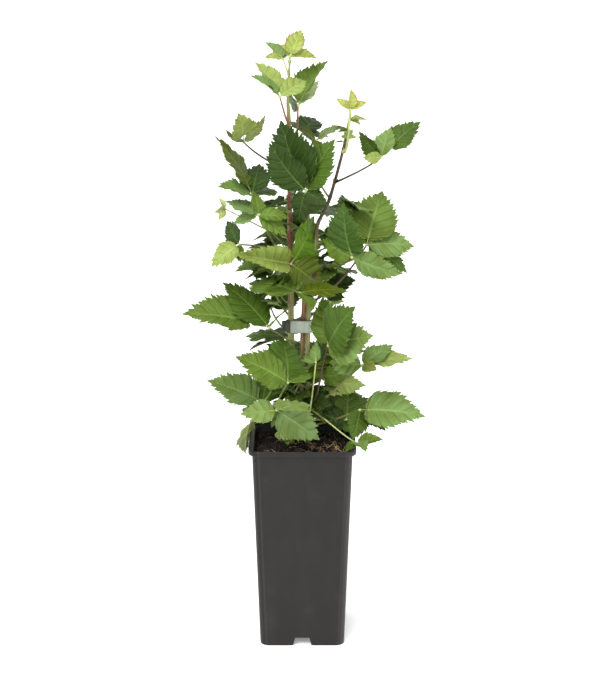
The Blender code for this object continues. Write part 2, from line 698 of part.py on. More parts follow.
def in_crown(points):
    """Inside the crown's outline from the front and a little above, and inside its depth."""
    seen = points[:, 2] + VIEW_SLOPE * points[:, 1]
    heights, left, right = np.array(CROWN).T
    across = points[:, 0]
    inside = (across > np.interp(seen, heights, left)) & (across < np.interp(seen, heights, right))
    low = points[:, 2].min() > SOIL_TOP + 0.002 and seen.max() < heights[-1] and seen.min() > heights[0]
    return inside.all() and low and abs(points[:, 1]).max() < CROWN_DEPTH


def rear_leaves(space, canes):
    """Leaves tried by the seeded rule. Later ones are smaller and stand closer in."""
    dice = random.Random(REAR_SEED)
    hubs = []
    found = []
    for tried in range(REAR_TRIES):
        if len(found) == REAR_LEAVES:
            break
        late = tried / REAR_TRIES
        cane = dice.choice(sorted(REAR_HEIGHTS))
        height = dice.uniform(*REAR_HEIGHTS[cane])
        vigour = float(np.interp(height, (0.20, 0.45, 0.60), (1.0, 0.95, 0.6)))
        azimuth = dice.uniform(10, 170)
        reach = dice.uniform(*REAR_REACH) * vigour * (1 - 0.6 * late)
        place, _ = cane_at(canes[cane], height)
        turned = math.radians(azimuth)
        hub = place + (math.cos(turned) * reach, math.sin(turned) * reach, dice.uniform(0.008, 0.045))
        leaf = {
            "cane": cane,
            "foot": height / MM,
            "hub": tuple(hub / MM),
            "aim": (azimuth + dice.gauss(0, 18), dice.uniform(-22, 38)),
            "roll": dice.gauss(0, 18),
            "length": dice.uniform(*REAR_LENGTH) * vigour * (1 - 0.4 * late) / MM,
            "blades": [(0, 1.0)] + [
                (side * (a + dice.gauss(0, 7)), s * dice.uniform(0.92, 1.08))
                for a, s in ((58, 0.82), (108, 0.66))[: dice.choice((1, 1, 2))]
                for side in (1, -1)
            ],
        }
        if any(np.linalg.norm(hub - other) < REAR_SPACING * (1 - 0.4 * late) for other in hubs):
            continue
        solids = grow_leaf(space, canes, leaf)
        if not solids or len(solids) < 5 or not in_crown(np.vstack([s[0] for s in solids])):
            continue
        hubs.append(hub)
        found.append(solids)
        space.add("leaf", *merged(solids))
    return found


def merged(solids):
    points, faces = [], []
    for more, rows in solids:
        faces += [tuple(i + len(points) for i in row) for row in rows]
        points += list(more)
    return np.array(points), faces


def main():
    clear_scene()
    parts = bpy.data.collections.new("Potted bramble bush")
    cutters = bpy.data.collections.new("Cutters")
    for collection in (parts, cutters):
        bpy.context.scene.collection.children.link(collection)
    bark = make_material("cane bark", (0.16, 0.075, 0.035), 0.6)
    green = {
        "mature": make_material("mature leaf", (0.045, 0.115, 0.018), 0.5),
        "bright": make_material("bright leaf", (0.12, 0.23, 0.03), 0.5),
        "young": make_material("young leaf", (0.30, 0.40, 0.09), 0.55),
    }
    pot, soil = build_pot(parts, cutters, make_material("charcoal plastic", (0.055, 0.052, 0.050), 0.55))
    soil.data.materials.append(make_material("compost", (0.020, 0.012, 0.009), 0.95))
    canes = {}
    for name, size in CANES.items():
        _, path, radii = build_cane(name, size, parts, bark)
        canes[name] = (path, radii)
    tie = build_tie(canes, parts, cutters, make_material("tie tape", (0.32, 0.34, 0.35), 0.6))
    space = Space()
    bpy.context.view_layer.update()
    graph = bpy.context.evaluated_depsgraph_get()
    for obj in (pot, soil, tie, *(bpy.data.objects[name] for name in CANES)):
        mesh = bpy.data.meshes.new_from_object(obj.evaluated_get(graph))
        corners = np.array([v.co[:] for v in mesh.vertices])
        space.add(obj.name, corners, [tuple(p.vertices) for p in mesh.polygons])
        bpy.data.meshes.remove(mesh)
    for name, leaf in LEAVES.items():
        solids = grow_leaf(space, canes, leaf)
        if solids:
            space.add(name, *merged(solids))
            join_mass(name, solids, parts, green["young" if leaf.get("young") else "mature"])
    for i, solids in enumerate(rear_leaves(space, canes)):
        join_mass(f"leaf_rear_{i + 1:02d}", solids, parts, green["bright"])
    for obj in parts.objects:
        if obj.type == "MESH":
            obj.data.shade_smooth()
            obj.data.set_sharp_from_angle(angle=SMOOTH_BELOW)


main()
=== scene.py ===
# Potted bramble bush: toothed pleated leaves, ridged thorny canes, compost, a moulded pot and a tape
# tie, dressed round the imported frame. Metres, +Z up, the front is -Y.
import itertools
import math
import random

import bpy
import numpy as np
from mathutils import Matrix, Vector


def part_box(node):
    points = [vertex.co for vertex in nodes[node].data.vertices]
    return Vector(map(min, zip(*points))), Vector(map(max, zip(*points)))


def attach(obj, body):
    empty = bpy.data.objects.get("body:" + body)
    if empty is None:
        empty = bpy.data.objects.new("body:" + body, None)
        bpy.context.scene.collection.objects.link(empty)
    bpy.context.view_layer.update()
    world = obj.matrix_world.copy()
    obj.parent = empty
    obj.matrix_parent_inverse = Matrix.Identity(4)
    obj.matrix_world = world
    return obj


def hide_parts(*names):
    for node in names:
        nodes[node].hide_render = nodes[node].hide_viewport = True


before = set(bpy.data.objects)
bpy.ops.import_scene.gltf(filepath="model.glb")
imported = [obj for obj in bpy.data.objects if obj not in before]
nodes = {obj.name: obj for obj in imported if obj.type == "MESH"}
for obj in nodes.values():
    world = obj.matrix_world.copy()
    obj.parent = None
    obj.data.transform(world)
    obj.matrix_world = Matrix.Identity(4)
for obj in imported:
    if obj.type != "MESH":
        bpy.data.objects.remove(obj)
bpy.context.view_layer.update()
mm = 0.001
print("frame loaded:", len(nodes), "nodes")

# How the leaves grow, by the same rule as the solids: a stalk leaves its cane at foot (height, mm)
# and ends at hub (mm). There the end blade points along aim (compass angle from +X, rise), its face
# turned by roll. coats has one letter of leafCoats for each blade. A blade is its angle in the
# leaf's plane, its size beside length (mm), its lift and its turn.
leafPlan = {}


def plantLeaf(name, foot, hub, aim, roll, length, coats, *blades, **own):
    # A leaf goes into the plan, on the cane that its own letter names.
    leafPlan[name] = {"cane": "cane_" + name[5], "foot": foot, "hub": hub, "aim": aim, "roll": roll,
                      "length": length, "coats": coats, "blades": blades, **own}


plantLeaf("leaf_b1", 501, (3, -33, 499), (165, 65), 100, 70, "ddmdd",
          (0, 1), (10, 0.85, 24, 10), (-50, 0.85, 0, 20), (-135, 0.4, 16, 20), (135, 0.55, 0, -10))
plantLeaf("leaf_a12", 322, (-15, -69, 305), (90, 40), -25, 61, "mbb",
          (0, 1, 0, -10), (80, 1, 16), (-45, 0.6, 0, 30))
plantLeaf("leaf_a11", 332, (-35, -33, 355), (-170, 15), 55, 70, "bmg",
          (0, 1, 8, -30), (-40, 0.95, 8, -20), (-115, 0.55, -8, 60), endStalk=0.36, swing=50)
plantLeaf("leaf_b3", 429, (-12, -33, 423), (60, 35), -65, 63, "epo",
          (0, 1, 8, -40), (125, 1.05, 0, 10), (-75, 0.85, 0, -10))
plantLeaf("leaf_c4", 417, (51, -44, 432), (-125, 70), 180, 57, "tgb",
          (0, 1, 8, 10), (-110, 0.95), (70, 0.7, 0, -10), swing=50)
plantLeaf("leaf_c3", 377, (67, -18, 440), (65, 55), -25, 64, "bgmm",
          (0, 1, 0, 10), (-70, 0.8, 0, 10), (40, 0.45, -8, -20), (-100, 0.8, -8, 20))
plantLeaf("leaf_c7", 263, (63, -43, 317), (0, 15), -15, 42, "pggp",
          (0, 1), (25, 0.95, 16, -10), (155, 0.95, 8, 50), (-55, 0.5, 8, -20), endStalk=0.3)
plantLeaf("leaf_c6", 260, (27, -42, 338), (-55, 20), -85, 61, "gmbb",
          (0, 1), (25, 1.15, 16), (100, 0.9, 0, -20), (-20, 0.5, -8, 20), endStalk=0.1)
plantLeaf("leaf_b6", 304, (-27, -60, 273), (10, -35), 45, 50, "dmm",
          (0, 1, 0, 40), (-80, 1.05, 0, -20), (120, 0.8, 0, -40))
plantLeaf("leaf_b8", 244, (-56, -1, 243), (125, -60), 20, 41, "s", (0, 1, 0, 20), swing=-35)
plantLeaf("leaf_c9", 239, (61, -36, 266), (-15, 5), -45, 63, "gdm",
          (0, 1, 0, 10), (-30, 0.55, -8, 30), (-90, 0.55, 8, 40), swing=35)
plantLeaf("leaf_a6", 437, (-52, -19, 493), (160, 65), 5, 61, "odgm",
          (0, 1, 0, -10), (-45, 0.75, 8, 60), (55, 0.7, -8, -30), (-85, 0.75, 8, 50), endStalk=0.2)
plantLeaf("leaf_c2", 503, (82, -4, 530), (20, 40), -40, 42, "mgmp",
          (0, 1, 8, 10), (30, 0.8, 16, 10), (95, 0.85, 24, 60), (-195, 0.5, 40, 60), endStalk=0.36,
          swing=-50)
plantLeaf("leaf_a4", 548, (-4, 0, 583), (0, 65), -30, 50, "bsm",
          (0, 1), (15, 0.7, -16, -10), (95, 0.7, 0, 40))
plantLeaf("leaf_a7", 419, (-45, -44, 476), (150, 25), 50, 39, "ggbbb",
          (0, 1, 0, -40), (40, 0.75, -8, -20), (-50, 0.7, 8, -50), (-145, 0.8, 0, 20), (185, 0.9, -8, 20))
plantLeaf("leaf_b4", 390, (-3, -46, 395), (140, 10), 15, 67, "bob", (0, 1), (-120, 0.8), (155, 0.55, 8, 30))
plantLeaf("leaf_a9", 434, (-65, -37, 444), (-165, -30), 50, 34, "pdm",
          (0, 1, 0, -10), (-90, 0.95, 0, 40), (55, 0.55, 0, -30))
plantLeaf("leaf_a13", 308, (-44, 3, 263), (-180, 30), 30, 58, "gmd",
          (0, 1), (-85, 0.8, 0, 10), (60, 0.65, 16, -60))
plantLeaf("leaf_a3", 566, (-23, -44, 596), (130, 50), -5, 46, "pgp",
          (0, 1), (50, 0.8, 16, -10), (-70, 0.85, 24, 10), young=True)
plantLeaf("leaf_a5", 518, (-61, 7, 544), (-90, 35), 145, 37, "ppo",
          (0, 1), (-65, 0.95), (45, 0.65, -32, 40), endStalk=0.42)
plantLeaf("leaf_c8", 248, (21, -3, 293), (-10, -20), -105, 45, "pbdb",
          (0, 1, -8, -10), (40, 0.75, 16), (110, 0.85, 0, -30), (-150, 0.5, 0, -20))
plantLeaf("leaf_c10", 245, (48, 6, 243), (65, 75), -20, 35, "mggd",
          (0, 1), (50, 1.05, -16, -10), (-25, 0.75, -8, 30), (85, 0.8, 32))
plantLeaf("leaf_c11", 257, (57, -59, 237), (-75, 10), -5, 29, "gbm",
          (0, 1), (60, 0.95, 8, -50), (-55, 0.65, -8, 30), young=True)
plantLeaf("leaf_a1", 628, (-13, -6, 633), (55, 55), -20, 33, "lll",
          (0, 1, 0, -10), (-65, 0.85, -8, 20), (45, 0.7, -8, -20), young=True)
plantLeaf("leaf_a2", 613, (-20, -10, 631), (145, 45), 5, 26, "glp",
          (0, 1, 0, 10), (75, 0.9, 8, -10), (-50, 0.95, -8, 20), swing=35, young=True)
plantLeaf("leaf_b2", 531, (14, -7, 548), (40, 0), -20, 31, "gmo",
          (0, 1, 32, 60), (90, 0.9, 8, -60), (-115, 0.65))
plantLeaf("leaf_c1", 535, (49, -10, 580), (140, 100), 40, 19, "rrr",
          (0, 1, 0, -20), (55, 0.95, -8, -40), (-55, 1, 0, 50), young=True)
plantLeaf("leaf_a10", 375, (-40, 16, 407), (-155, 10), 25, 31, "gtm",
          (0, 1), (-55, 1.05, 0, 20), (50, 1, 16, -10))
plantLeaf("leaf_c5", 361, (23, 32, 383), (-15, 25), -60, 33, "ddd",
          (0, 1, -8), (-50, 0.85, 8, -40), (45, 1, 8, 10))
plantLeaf("leaf_b5", 223, (14, -46, 321), (40, 90), -25, 20, "gg",
          (0, 1, 0, -10), (75, 0.8, 0, -20), young=True)
plantLeaf("leaf_b7", 285, (-24, -48, 248), (65, -20), 60, 22, "gb", (0, 1, -32, 40), (40, 0.8), young=True)
plantLeaf("leaf_a8", 443, (-81, -5, 476), (-125, -5), 85, 16, "sss",
          (0, 1, 8), (45, 0.85, -8, -30), (-70, 0.85, 0, 10), swing=-50, young=True)
# The canes' middle lines (mm) from the compost to the tips, and their radii (mm) at foot and tip.
caneWays = {
    "cane_a": ((-12, 0, 217.8), (-12, 0, 350), (-13, 1, 454), (-14, 1, 565), (-15, 0, 589), (-13, -1, 629)),
    "cane_b": ((-2, 5, 217.8), (1, 4, 349), (6, 5, 441), (5, 6, 465), (11, 5, 510), (16, 4, 546)),
    "cane_c": ((7, -3, 217.8), (6, -2, 351), (13, 0, 429), (16, 1, 458), (28, 2, 484), (42, 2, 535),
               (50, 3, 576)),
}
caneRadii = {"cane_a": (3.9, 1.1), "cane_b": (3.1, 1.1), "cane_c": (2.9, 1.3)}
caneRings = 18
# The growth rule, shared with the solids: what the rear leaves are dealt (m and degrees), the lifts,
# turns and ways out that a leaf may take to clear its neighbours, and shares of a blade's length.
growth = {
    "rearTries": 9000,
    "rearSeed": 11,
    "rearCompass": (10, 170),
    "rearReach": (0.030, 0.075),
    "rearClimb": (0.008, 0.045),
    "rearLength": (0.050, 0.070),
    "rearRise": (-22, 38),
    "rearSpread": 18,
    "rearPairs": ((58, 0.82), (108, 0.66)),
    "rearHeights": {"cane_a": (0.232, 0.56), "cane_b": (0.232, 0.50), "cane_c": (0.232, 0.52)},
    "rearVigour": ((0.20, 0.45, 0.60), (1.0, 0.95, 0.6)),
    # The rear leaves are dealt mostly darker coats, painted shade inside the bush.
    "rearCoats": ("dmmbo", "mdbom", "odmmd", "mdmom"),
    "lifts": (0, 8, -8, 16, -16, 24, -24, 32, -32),
    "turns": (0, 20, -20),
    "waysOut": ((0, 0), (0.004, 0), (-0.004, 0), (0.008, 0), (-0.008, 0), (0, 35), (0, -35), (0.008, 35),
                (-0.008, -35)),
    "lowestFoot": 0.2215,
    "belowTip": 0.0015,
    "stalkRadius": 1.15 * mm,
    "bend": 0.33,
    "endWidth": 0.78,
    "sideWidth": 0.70,
    "lowWidth": 0.62,
    "youngWidth": 0.85,
    "endStalk": 0.12,
    "sideStalk": 0.05,
    "tipAt": 0.97,
    "tipMiss": 0.02 * mm,
    "droop": 0.20,
    "fold": 0.16,
}


def unit(vector):
    return vector / np.linalg.norm(vector)


def smoothPath(way, count):
    # Catmull-Rom through the given points, evenly stepped.
    way = np.asarray(way, float)
    ends = np.vstack([2 * way[0] - way[1], way, 2 * way[-1] - way[-2]])
    u = np.linspace(0, len(way) - 1, count)
    i = np.minimum(u.astype(int), len(way) - 2)
    t = (u - i)[:, None]
    a, b, c, d = ends[i], ends[i + 1], ends[i + 2], ends[i + 3]
    return 0.5 * (2 * b + (c - a) * t + (2 * a - 5 * b + 4 * c - d) * t**2 + (3 * b - a - 3 * c + d) * t**3)


canePaths = {name: smoothPath(way, caneRings) * mm for name, way in caneWays.items()}


def caneAt(name, height):
    # The cane's middle and radius at this height, in straight steps between its rings.
    path = canePaths[name]
    place = np.array([np.interp(height, path[:, 2], path[:, i]) for i in (0, 1)] + [height])
    low, high = caneRadii[name]
    return place, float(np.interp(height, path[:, 2], np.linspace(low, high, len(path)) * mm))


def aimFrame(azimuth, rise, roll):
    # The end blade's line, the leaf's left and its face, from compass angle, rise and roll.
    a, e, r = np.radians((azimuth, rise, roll))
    aim = np.array((math.cos(e) * math.cos(a), math.cos(e) * math.sin(a), math.sin(e)))
    up = np.array((-math.sin(e) * math.cos(a), -math.sin(e) * math.sin(a), math.cos(e)))
    face = math.cos(r) * up + math.sin(r) * np.cross(up, aim)
    return aim, np.cross(face, aim), face


def bladeFrame(leaf, angle, lift, turn):
    # The blade's line, face and left: turned by angle in the leaf's plane, lifted out of it, and
    # turned about its own line.
    aim, left, face = leaf
    angle, lift, turn = np.radians((angle, lift, turn))
    along = math.cos(lift) * (math.cos(angle) * aim + math.sin(angle) * left) + math.sin(lift) * face
    up = unit(face - along * (face @ along))
    up = math.cos(turn) * up + math.sin(turn) * np.cross(up, along)
    return along, up, np.cross(up, along)


def petiolePath(cane, height, hub, aim, swing):
    # Straight out of the cane, then a cubic bend to the hub.
    place, radius = caneAt(cane, height)
    out = (hub - place) * (1, 1, 0)
    out = unit(out) if np.linalg.norm(out) > 0.5 * mm else np.array((0.0, -1.0, 0.0))
    c, s = math.cos(math.radians(swing)), math.sin(math.radians(swing))
    out = np.array((c * out[0] - s * out[1], s * out[0] + c * out[1], 0.0))
    start = place + out * (radius + 0.3 * mm)
    first = start + out * 2 * mm
    reach = np.linalg.norm(hub - start)
    straight = unit(hub - first)
    bend = first + unit(out * 0.5 + straight * 0.8) * reach * growth["bend"]
    ease = hub - unit(straight * 0.8 + aim * 0.3 + (0, 0, 0.15)) * reach * growth["bend"]
    t = np.linspace(0, 1, 13)[:, None]
    curve = (1 - t) ** 3 * first + 3 * (1 - t) ** 2 * t * bend + 3 * (1 - t) * t**2 * ease + t**3 * hub
    return np.vstack([place + out * radius * 0.6, start, curve])


def nodeSpots(name):
    # All points of one of the frame's solids.
    mesh = nodes[name].data
    spots = np.empty(len(mesh.vertices) * 3, np.float32)
    mesh.vertices.foreach_get("co", spots)
    return spots.reshape(-1, 3).astype(float)


def bladeWidth(angle, size):
    if angle == 0:
        return growth["endWidth"]
    return growth["sideWidth"] if abs(angle) <= 90 or size >= 1 else growth["lowWidth"]


def bladeTip(hub, held, length, stalk):
    # The tip lies along the blade's line and sinks below it by the droop.
    along, up, _ = held
    return hub + along * length * (stalk + growth["tipAt"]) - up * growth["droop"] * length


def heldBlades(leaf, spots):
    # Each blade with the lift and turn at which the frame's solid holds its tip, if it has that blade.
    hub = np.array(leaf["hub"]) * mm
    whole = aimFrame(*leaf["aim"], leaf["roll"])
    young = bool(leaf.get("young"))
    found = []
    for i, (angle, size, *own) in enumerate(leaf["blades"]):
        ownLift, ownTurn = (*own, 0, 0)[:2]
        stalk = leaf.get("endStalk", growth["endStalk"]) if angle == 0 else growth["sideStalk"]
        length = leaf["length"] * mm * size
        for lift, turn in itertools.product(growth["lifts"], growth["turns"]):
            held = bladeFrame(whole, angle, ownLift + lift, ownTurn + turn)
            miss = np.linalg.norm(spots - bladeTip(hub, held, length, stalk), axis=1).min()
            if miss < growth["tipMiss"]:
                width = bladeWidth(angle, size) * (growth["youngWidth"] if young else 1.0)
                found.append({"hub": hub, "held": held, "length": length, "stalk": stalk * length,
                              "index": i, "width": width, "angle": angle, "young": young})
                break
    return found


def heldStalk(leaf, spots):
    # The way out of the cane that the frame's solid took: its first ring stands round the path's start.
    hub = np.array(leaf["hub"]) * mm
    aim = aimFrame(*leaf["aim"], leaf["roll"])[0]
    best = None
    for shift, swing in growth["waysOut"]:
        top = canePaths[leaf["cane"]][-1, 2] - growth["belowTip"]
        height = min(max(leaf["foot"] * mm + shift, growth["lowestFoot"]), top)
        path = petiolePath(leaf["cane"], height, hub, aim, leaf.get("swing", 0) + swing)
        nearest = np.sort(np.linalg.norm(spots - path[1], axis=1))[:3]
        off = abs(nearest - growth["stalkRadius"]).max()
        if best is None or off < best[0]:
            best = (off, path)
    return best[1]


def rearPlans():
    # The seeded rule deals out candidates, smaller as it goes on. The frame's rear nodes tell which
    # of them found room.
    dice = random.Random(growth["rearSeed"])
    waiting = sorted(name for name in nodes if name.startswith("leaf_rear"))
    plans = {}
    for tried in range(growth["rearTries"]):
        if not waiting:
            break
        late = tried / growth["rearTries"]
        cane = dice.choice(sorted(growth["rearHeights"]))
        height = dice.uniform(*growth["rearHeights"][cane])
        vigour = float(np.interp(height, *growth["rearVigour"]))
        azimuth = dice.uniform(*growth["rearCompass"])
        reach = dice.uniform(*growth["rearReach"]) * vigour * (1 - 0.6 * late)
        place, _ = caneAt(cane, height)
        turned = math.radians(azimuth)
        hub = place + (math.cos(turned) * reach, math.sin(turned) * reach, dice.uniform(*growth["rearClimb"]))
        aim = (azimuth + dice.gauss(0, growth["rearSpread"]), dice.uniform(*growth["rearRise"]))
        roll = dice.gauss(0, growth["rearSpread"])
        length = dice.uniform(*growth["rearLength"]) * vigour * (1 - 0.4 * late) / mm
        blades = [(0, 1.0)]
        for angle, size in growth["rearPairs"][: dice.choice((1, 1, 2))]:
            for side in (1, -1):
                blades.append((side * (angle + dice.gauss(0, 7)), size * dice.uniform(0.92, 1.08)))
        leaf = {"cane": cane, "foot": height / mm, "hub": tuple(hub / mm), "aim": aim, "roll": roll,
                "length": length, "blades": blades}
        low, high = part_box(waiting[0])
        if not all(low[i] - mm < hub[i] < high[i] + mm for i in range(3)):
            continue
        if len(heldBlades(leaf, nodeSpots(waiting[0]))) < 3:
            continue
        coats = growth["rearCoats"]
        leaf["coats"] = coats[len(plans) % len(coats)][: len(blades)]
        plans[waiting.pop(0)] = leaf
    print("rear leaves found:", len(plans), "left:", waiting)
    return plans


# The half outline of a blade: share of length, share of half width, from the stalk round to the tip.
outline = {
    "end": ((0, 0.02), (-0.035, 0.14), (-0.03, 0.42), (0.07, 0.78), (0.24, 0.96), (0.42, 0.93),
            (0.60, 0.70), (0.74, 0.43), (0.84, 0.23), (0.92, 0.10), (1.0, 0.0)),
    "side": ((0, 0.02), (0.0, 0.13), (0.04, 0.42), (0.16, 0.77), (0.33, 0.95), (0.51, 0.87),
             (0.67, 0.60), (0.79, 0.35), (0.88, 0.18), (0.94, 0.08), (1.0, 0.0)),
}
# How far each sample of a tooth stands out, and the columns from the midrib to the margin.
toothSteps = (0.0, 0.34, 0.62, 0.38, 0.76, 1.0)
bladeColumns = np.array((0, 0.10, 0.28, 0.48, 0.68, 0.84, 0.93, 1.0))
shootColumns = np.array((0, 0.15, 0.50, 0.84, 1.0))
bladeLook = {
    "teethPerMetre": 190,
    "fewestTeeth": 8,
    "mostTeeth": 14,
    "tooth": 0.100,
    "toothFrom": 0.72,
    "toothForward": 0.62,
    "toothOut": 0.95,
    "toothJitter": 0.25,
    "veinForward": (-0.10, 1.15),
    "veinsPerTooth": 0.7,
    "pleat": 0.038,
    "thickness": 0.30 * mm,
    "ribDepth": 0.35 * mm,
    "ribHalf": 0.75 * mm,
    "wave": 0.075,
    "youngFold": 0.62,
    "fullness": 1.01,
}


def halfOutline(kind, count):
    # Catmull-Rom through the outline's points, then evenly spaced along its length.
    fine = smoothPath([(s, w, 0) for s, w in outline[kind]], 400)[:, :2]
    steps = np.linalg.norm(np.diff(fine, axis=0) * (1.0, 0.42), axis=1)
    run = np.concatenate([[0], np.cumsum(steps)]) / steps.sum()
    t = np.linspace(0, 1, count)
    return t, np.interp(t, run, fine[:, 0]), np.maximum(0, np.interp(t, run, fine[:, 1]))


def bladeGrid(blade, dice):
    # Rows run along the lateral veins from the midrib to the toothed margin, columns from the left
    # margin over the midrib to the right one. s is the share of the length, w the way out to a side.
    # Height = fold * w + pleats + wave + side tilt - sag * share^2 - the midrib's groove - droop * s^2.
    length, half = blade["length"], blade["width"] * blade["length"] / 2
    look = bladeLook
    teeth = int(np.clip(round(length * look["teethPerMetre"]), look["fewestTeeth"], look["mostTeeth"]))
    samples = len(toothSteps)
    t, sEdge, wEdge = halfOutline("end" if blade["angle"] == 0 else "side", teeth * samples + 1)
    forward = np.interp(t, (0, 1), look["veinForward"])
    sRib = np.maximum.accumulate(np.clip(sEdge - wEdge * half / length * forward, 0, 1))
    sRib[-1] = 1.0
    phase = np.arange(len(t)) % samples
    fade = np.clip(np.minimum(t / 0.06, (1 - t) / 0.16), 0, 1)
    columns = blade.get("columns", bladeColumns)
    across = np.concatenate([-columns[:0:-1], columns])
    v = abs(across)[None, :]
    side = np.sign(across)[None, :]
    jitter = 1 + look["toothJitter"] * (dice.random((teeth + 1, 2)) - 0.5)
    nth = np.minimum(np.arange(len(t)) // samples, teeth)
    jag = np.where(side < 0, jitter[nth, 0][:, None], jitter[nth, 1][:, None])
    tooth = np.array(toothSteps)[phase][:, None] * fade[:, None] * jag * look["tooth"]
    bite = np.clip((v - look["toothFrom"]) / (1 - look["toothFrom"]), 0, 1) ** 1.5
    s = sRib[:, None] + (sEdge - sRib)[:, None] * v**1.15
    s = s + tooth * bite * look["toothForward"] * np.clip((1 - s) * 5, 0, 1)
    w = wEdge[:, None] * v * half + tooth * bite * look["toothOut"] * half * 1.6
    valley = (t * teeth * look["veinsPerTooth"] - (samples - 1) / samples)[:, None]
    body = np.clip(np.minimum(t / 0.10, (1 - t) / 0.12), 0, 1)[:, None]
    pleat = look["pleat"] * length * (abs(np.sin(math.pi * valley)) - 0.5) * v**0.7 * (1 - 0.25 * v) * body
    tilt, sag, lean = dice.normal(0, 0.06), dice.normal(0.06, 0.08), dice.normal(0, 0.06)
    share = w / max(half, 1e-9)
    wave = look["wave"] * half * np.sin(2 * math.pi * (2.1 * s + dice.random()) + side * 0.9) * share**2
    fold = look["youngFold"] if blade["young"] else blade["fold"]
    w = w / math.hypot(1, fold) * look["fullness"]
    raised = fold * np.maximum(0, w - look["ribHalf"]) - sag * half * share**2 + pleat + wave
    raised = raised + side * tilt * half * share * s
    raised = raised - look["ribDepth"] * 0.5 * np.exp(-((v / 0.10) ** 2)) * np.clip((1 - s) * 3, 0, 1)
    w = w * side + lean * length * (s - s**2) * 0.35
    along, up, left = blade["held"]
    base = blade["hub"] + along * blade["stalk"]
    run = length * (s - 0.03 * s**2)
    drop = growth["droop"] * length * np.maximum(s, 0) ** 2
    points = base + run[..., None] * along + (raised - drop)[..., None] * up + w[..., None] * left
    uv = np.stack([np.broadcast_to(valley + 1, s.shape), np.broadcast_to(across[None, :], s.shape)], axis=-1)
    return points, uv, v


def gridFaces(rows, columns):
    # Each cell's four corners, going round.
    i, j = np.meshgrid(np.arange(rows - 1), np.arange(columns - 1), indexing="ij")
    a = i * columns + j
    return np.stack([a, a + 1, a + columns + 1, a + columns], axis=-1).reshape(-1, 4)


def gridNormals(points):
    # The cross product of the two grid directions, made unit length.
    du = np.gradient(points, axis=0)
    dv = np.gradient(points, axis=1)
    normal = np.cross(dv, du)
    return normal / np.maximum(np.linalg.norm(normal, axis=-1, keepdims=True), 1e-12)


def linked(name, data):
    obj = bpy.data.objects.new(name, data)
    bpy.context.scene.collection.objects.link(obj)
    return obj


class Batch:
    # Grids and triangles gathered into one mesh, each with its own material and UV.
    def __init__(self):
        self.points, self.quads, self.triangles, self.uvs, self.count = [], [], [], [], 0

    def add(self, points, faces, uv=None, slot=0):
        points = points.reshape(-1, 3)
        self.points.append(points)
        kept = self.triangles if faces.shape[1] == 3 else self.quads
        kept.append(np.column_stack([faces + self.count, np.broadcast_to(slot, len(faces))]))
        self.uvs.append(np.zeros((len(points), 2)) if uv is None else uv.reshape(-1, 2))
        self.count += len(points)

    def addGrid(self, points, uv=None, slot=0, turned=True):
        # A whole grid. Which of its sides is the outer one is set by turned.
        faces = gridFaces(*points.shape[:2])
        self.add(points, faces[:, ::-1] if turned else faces, uv, slot)

    def build(self, name, materials, replaced=(), slotName=None):
        points, uvs = np.vstack(self.points), np.vstack(self.uvs)
        quads = np.vstack(self.quads) if self.quads else np.zeros((0, 5), int)
        triangles = np.vstack(self.triangles) if self.triangles else np.zeros((0, 4), int)
        corners = np.concatenate([quads[:, :4].ravel(), triangles[:, :3].ravel()]).astype(np.int32)
        sizes = np.repeat((4, 3), (len(quads), len(triangles)))
        slots = np.concatenate([quads[:, 4], triangles[:, 3]]).astype(np.int32)
        mesh = bpy.data.meshes.new(name)
        mesh.vertices.add(len(points))
        mesh.vertices.foreach_set("co", points.astype(np.float32).ravel())
        mesh.loops.add(len(corners))
        mesh.loops.foreach_set("vertex_index", corners)
        mesh.polygons.add(len(sizes))
        mesh.polygons.foreach_set("loop_start", (np.cumsum(sizes) - sizes).astype(np.int32))
        mesh.polygons.foreach_set("material_index", slots)
        mesh.polygons.foreach_set("use_smooth", np.ones(len(sizes), bool))
        mesh.uv_layers.new(name="leafGrid").data.foreach_set("uv", uvs[corners].astype(np.float32).ravel())
        mesh.update(calc_edges=True)
        obj = linked(name, mesh)
        for material in materials:
            mesh.materials.append(material)
        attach(obj, "root")
        if replaced:
            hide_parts(*replaced)
        print(name, "triangles:", 2 * len(quads) + len(triangles))


def tubeGrid(path, radii, sides, ridge=0.0, ridges=5):
    # A round profile carried along the path with a frame that doesn't twist. Its radius is
    # multiplied by 1 + ridge * |cos(ridges / 2 * angle)|.
    tangents = np.gradient(path, axis=0)
    tangents /= np.linalg.norm(tangents, axis=1)[:, None]
    side = np.cross(tangents[0], (0, 1, 0) if abs(tangents[0][1]) < 0.9 else (1, 0, 0))
    sides1, sides2 = [], []
    for way in tangents:
        side = unit(side - way * (side @ way))
        sides1.append(side)
        sides2.append(np.cross(way, side))
    a = np.linspace(0, 2 * math.pi, sides + 1)
    lift = 1 + ridge * abs(np.cos(ridges / 2 * a))
    radius = np.asarray(radii).reshape(len(path), -1) * lift[None, :]
    rings = (np.cos(a)[None, :, None] * np.array(sides1)[:, None]
             + np.sin(a)[None, :, None] * np.array(sides2)[:, None])
    points = path[:, None] + radius[..., None] * rings
    t = np.linspace(0, 1, len(path))[:, None]
    return points, np.stack(np.broadcast_arrays(t, (a / (2 * math.pi))[None, :]), axis=-1)


def closedTube(batch, path, radii, sides, slot=0, **shape):
    # The tube drawn to a point at both ends, a hair beyond them, so that it is closed.
    hair, point = 1e-5, 1e-6
    path = np.vstack([path[0], path, path[-1]])
    radii = np.concatenate([[point], np.asarray(radii, float), [point]])
    path[0] += (path[0] - path[2]) / np.linalg.norm(path[0] - path[2]) * hair
    path[-1] += (path[-1] - path[-3]) / np.linalg.norm(path[-1] - path[-3]) * hair
    points, uv = tubeGrid(path, radii, sides, **shape)
    batch.addGrid(points, uv, slot)


# Materials. principled gives the inputs of a material's own shader.
def principled(material):
    return material.node_tree.nodes["Principled BSDF"].inputs


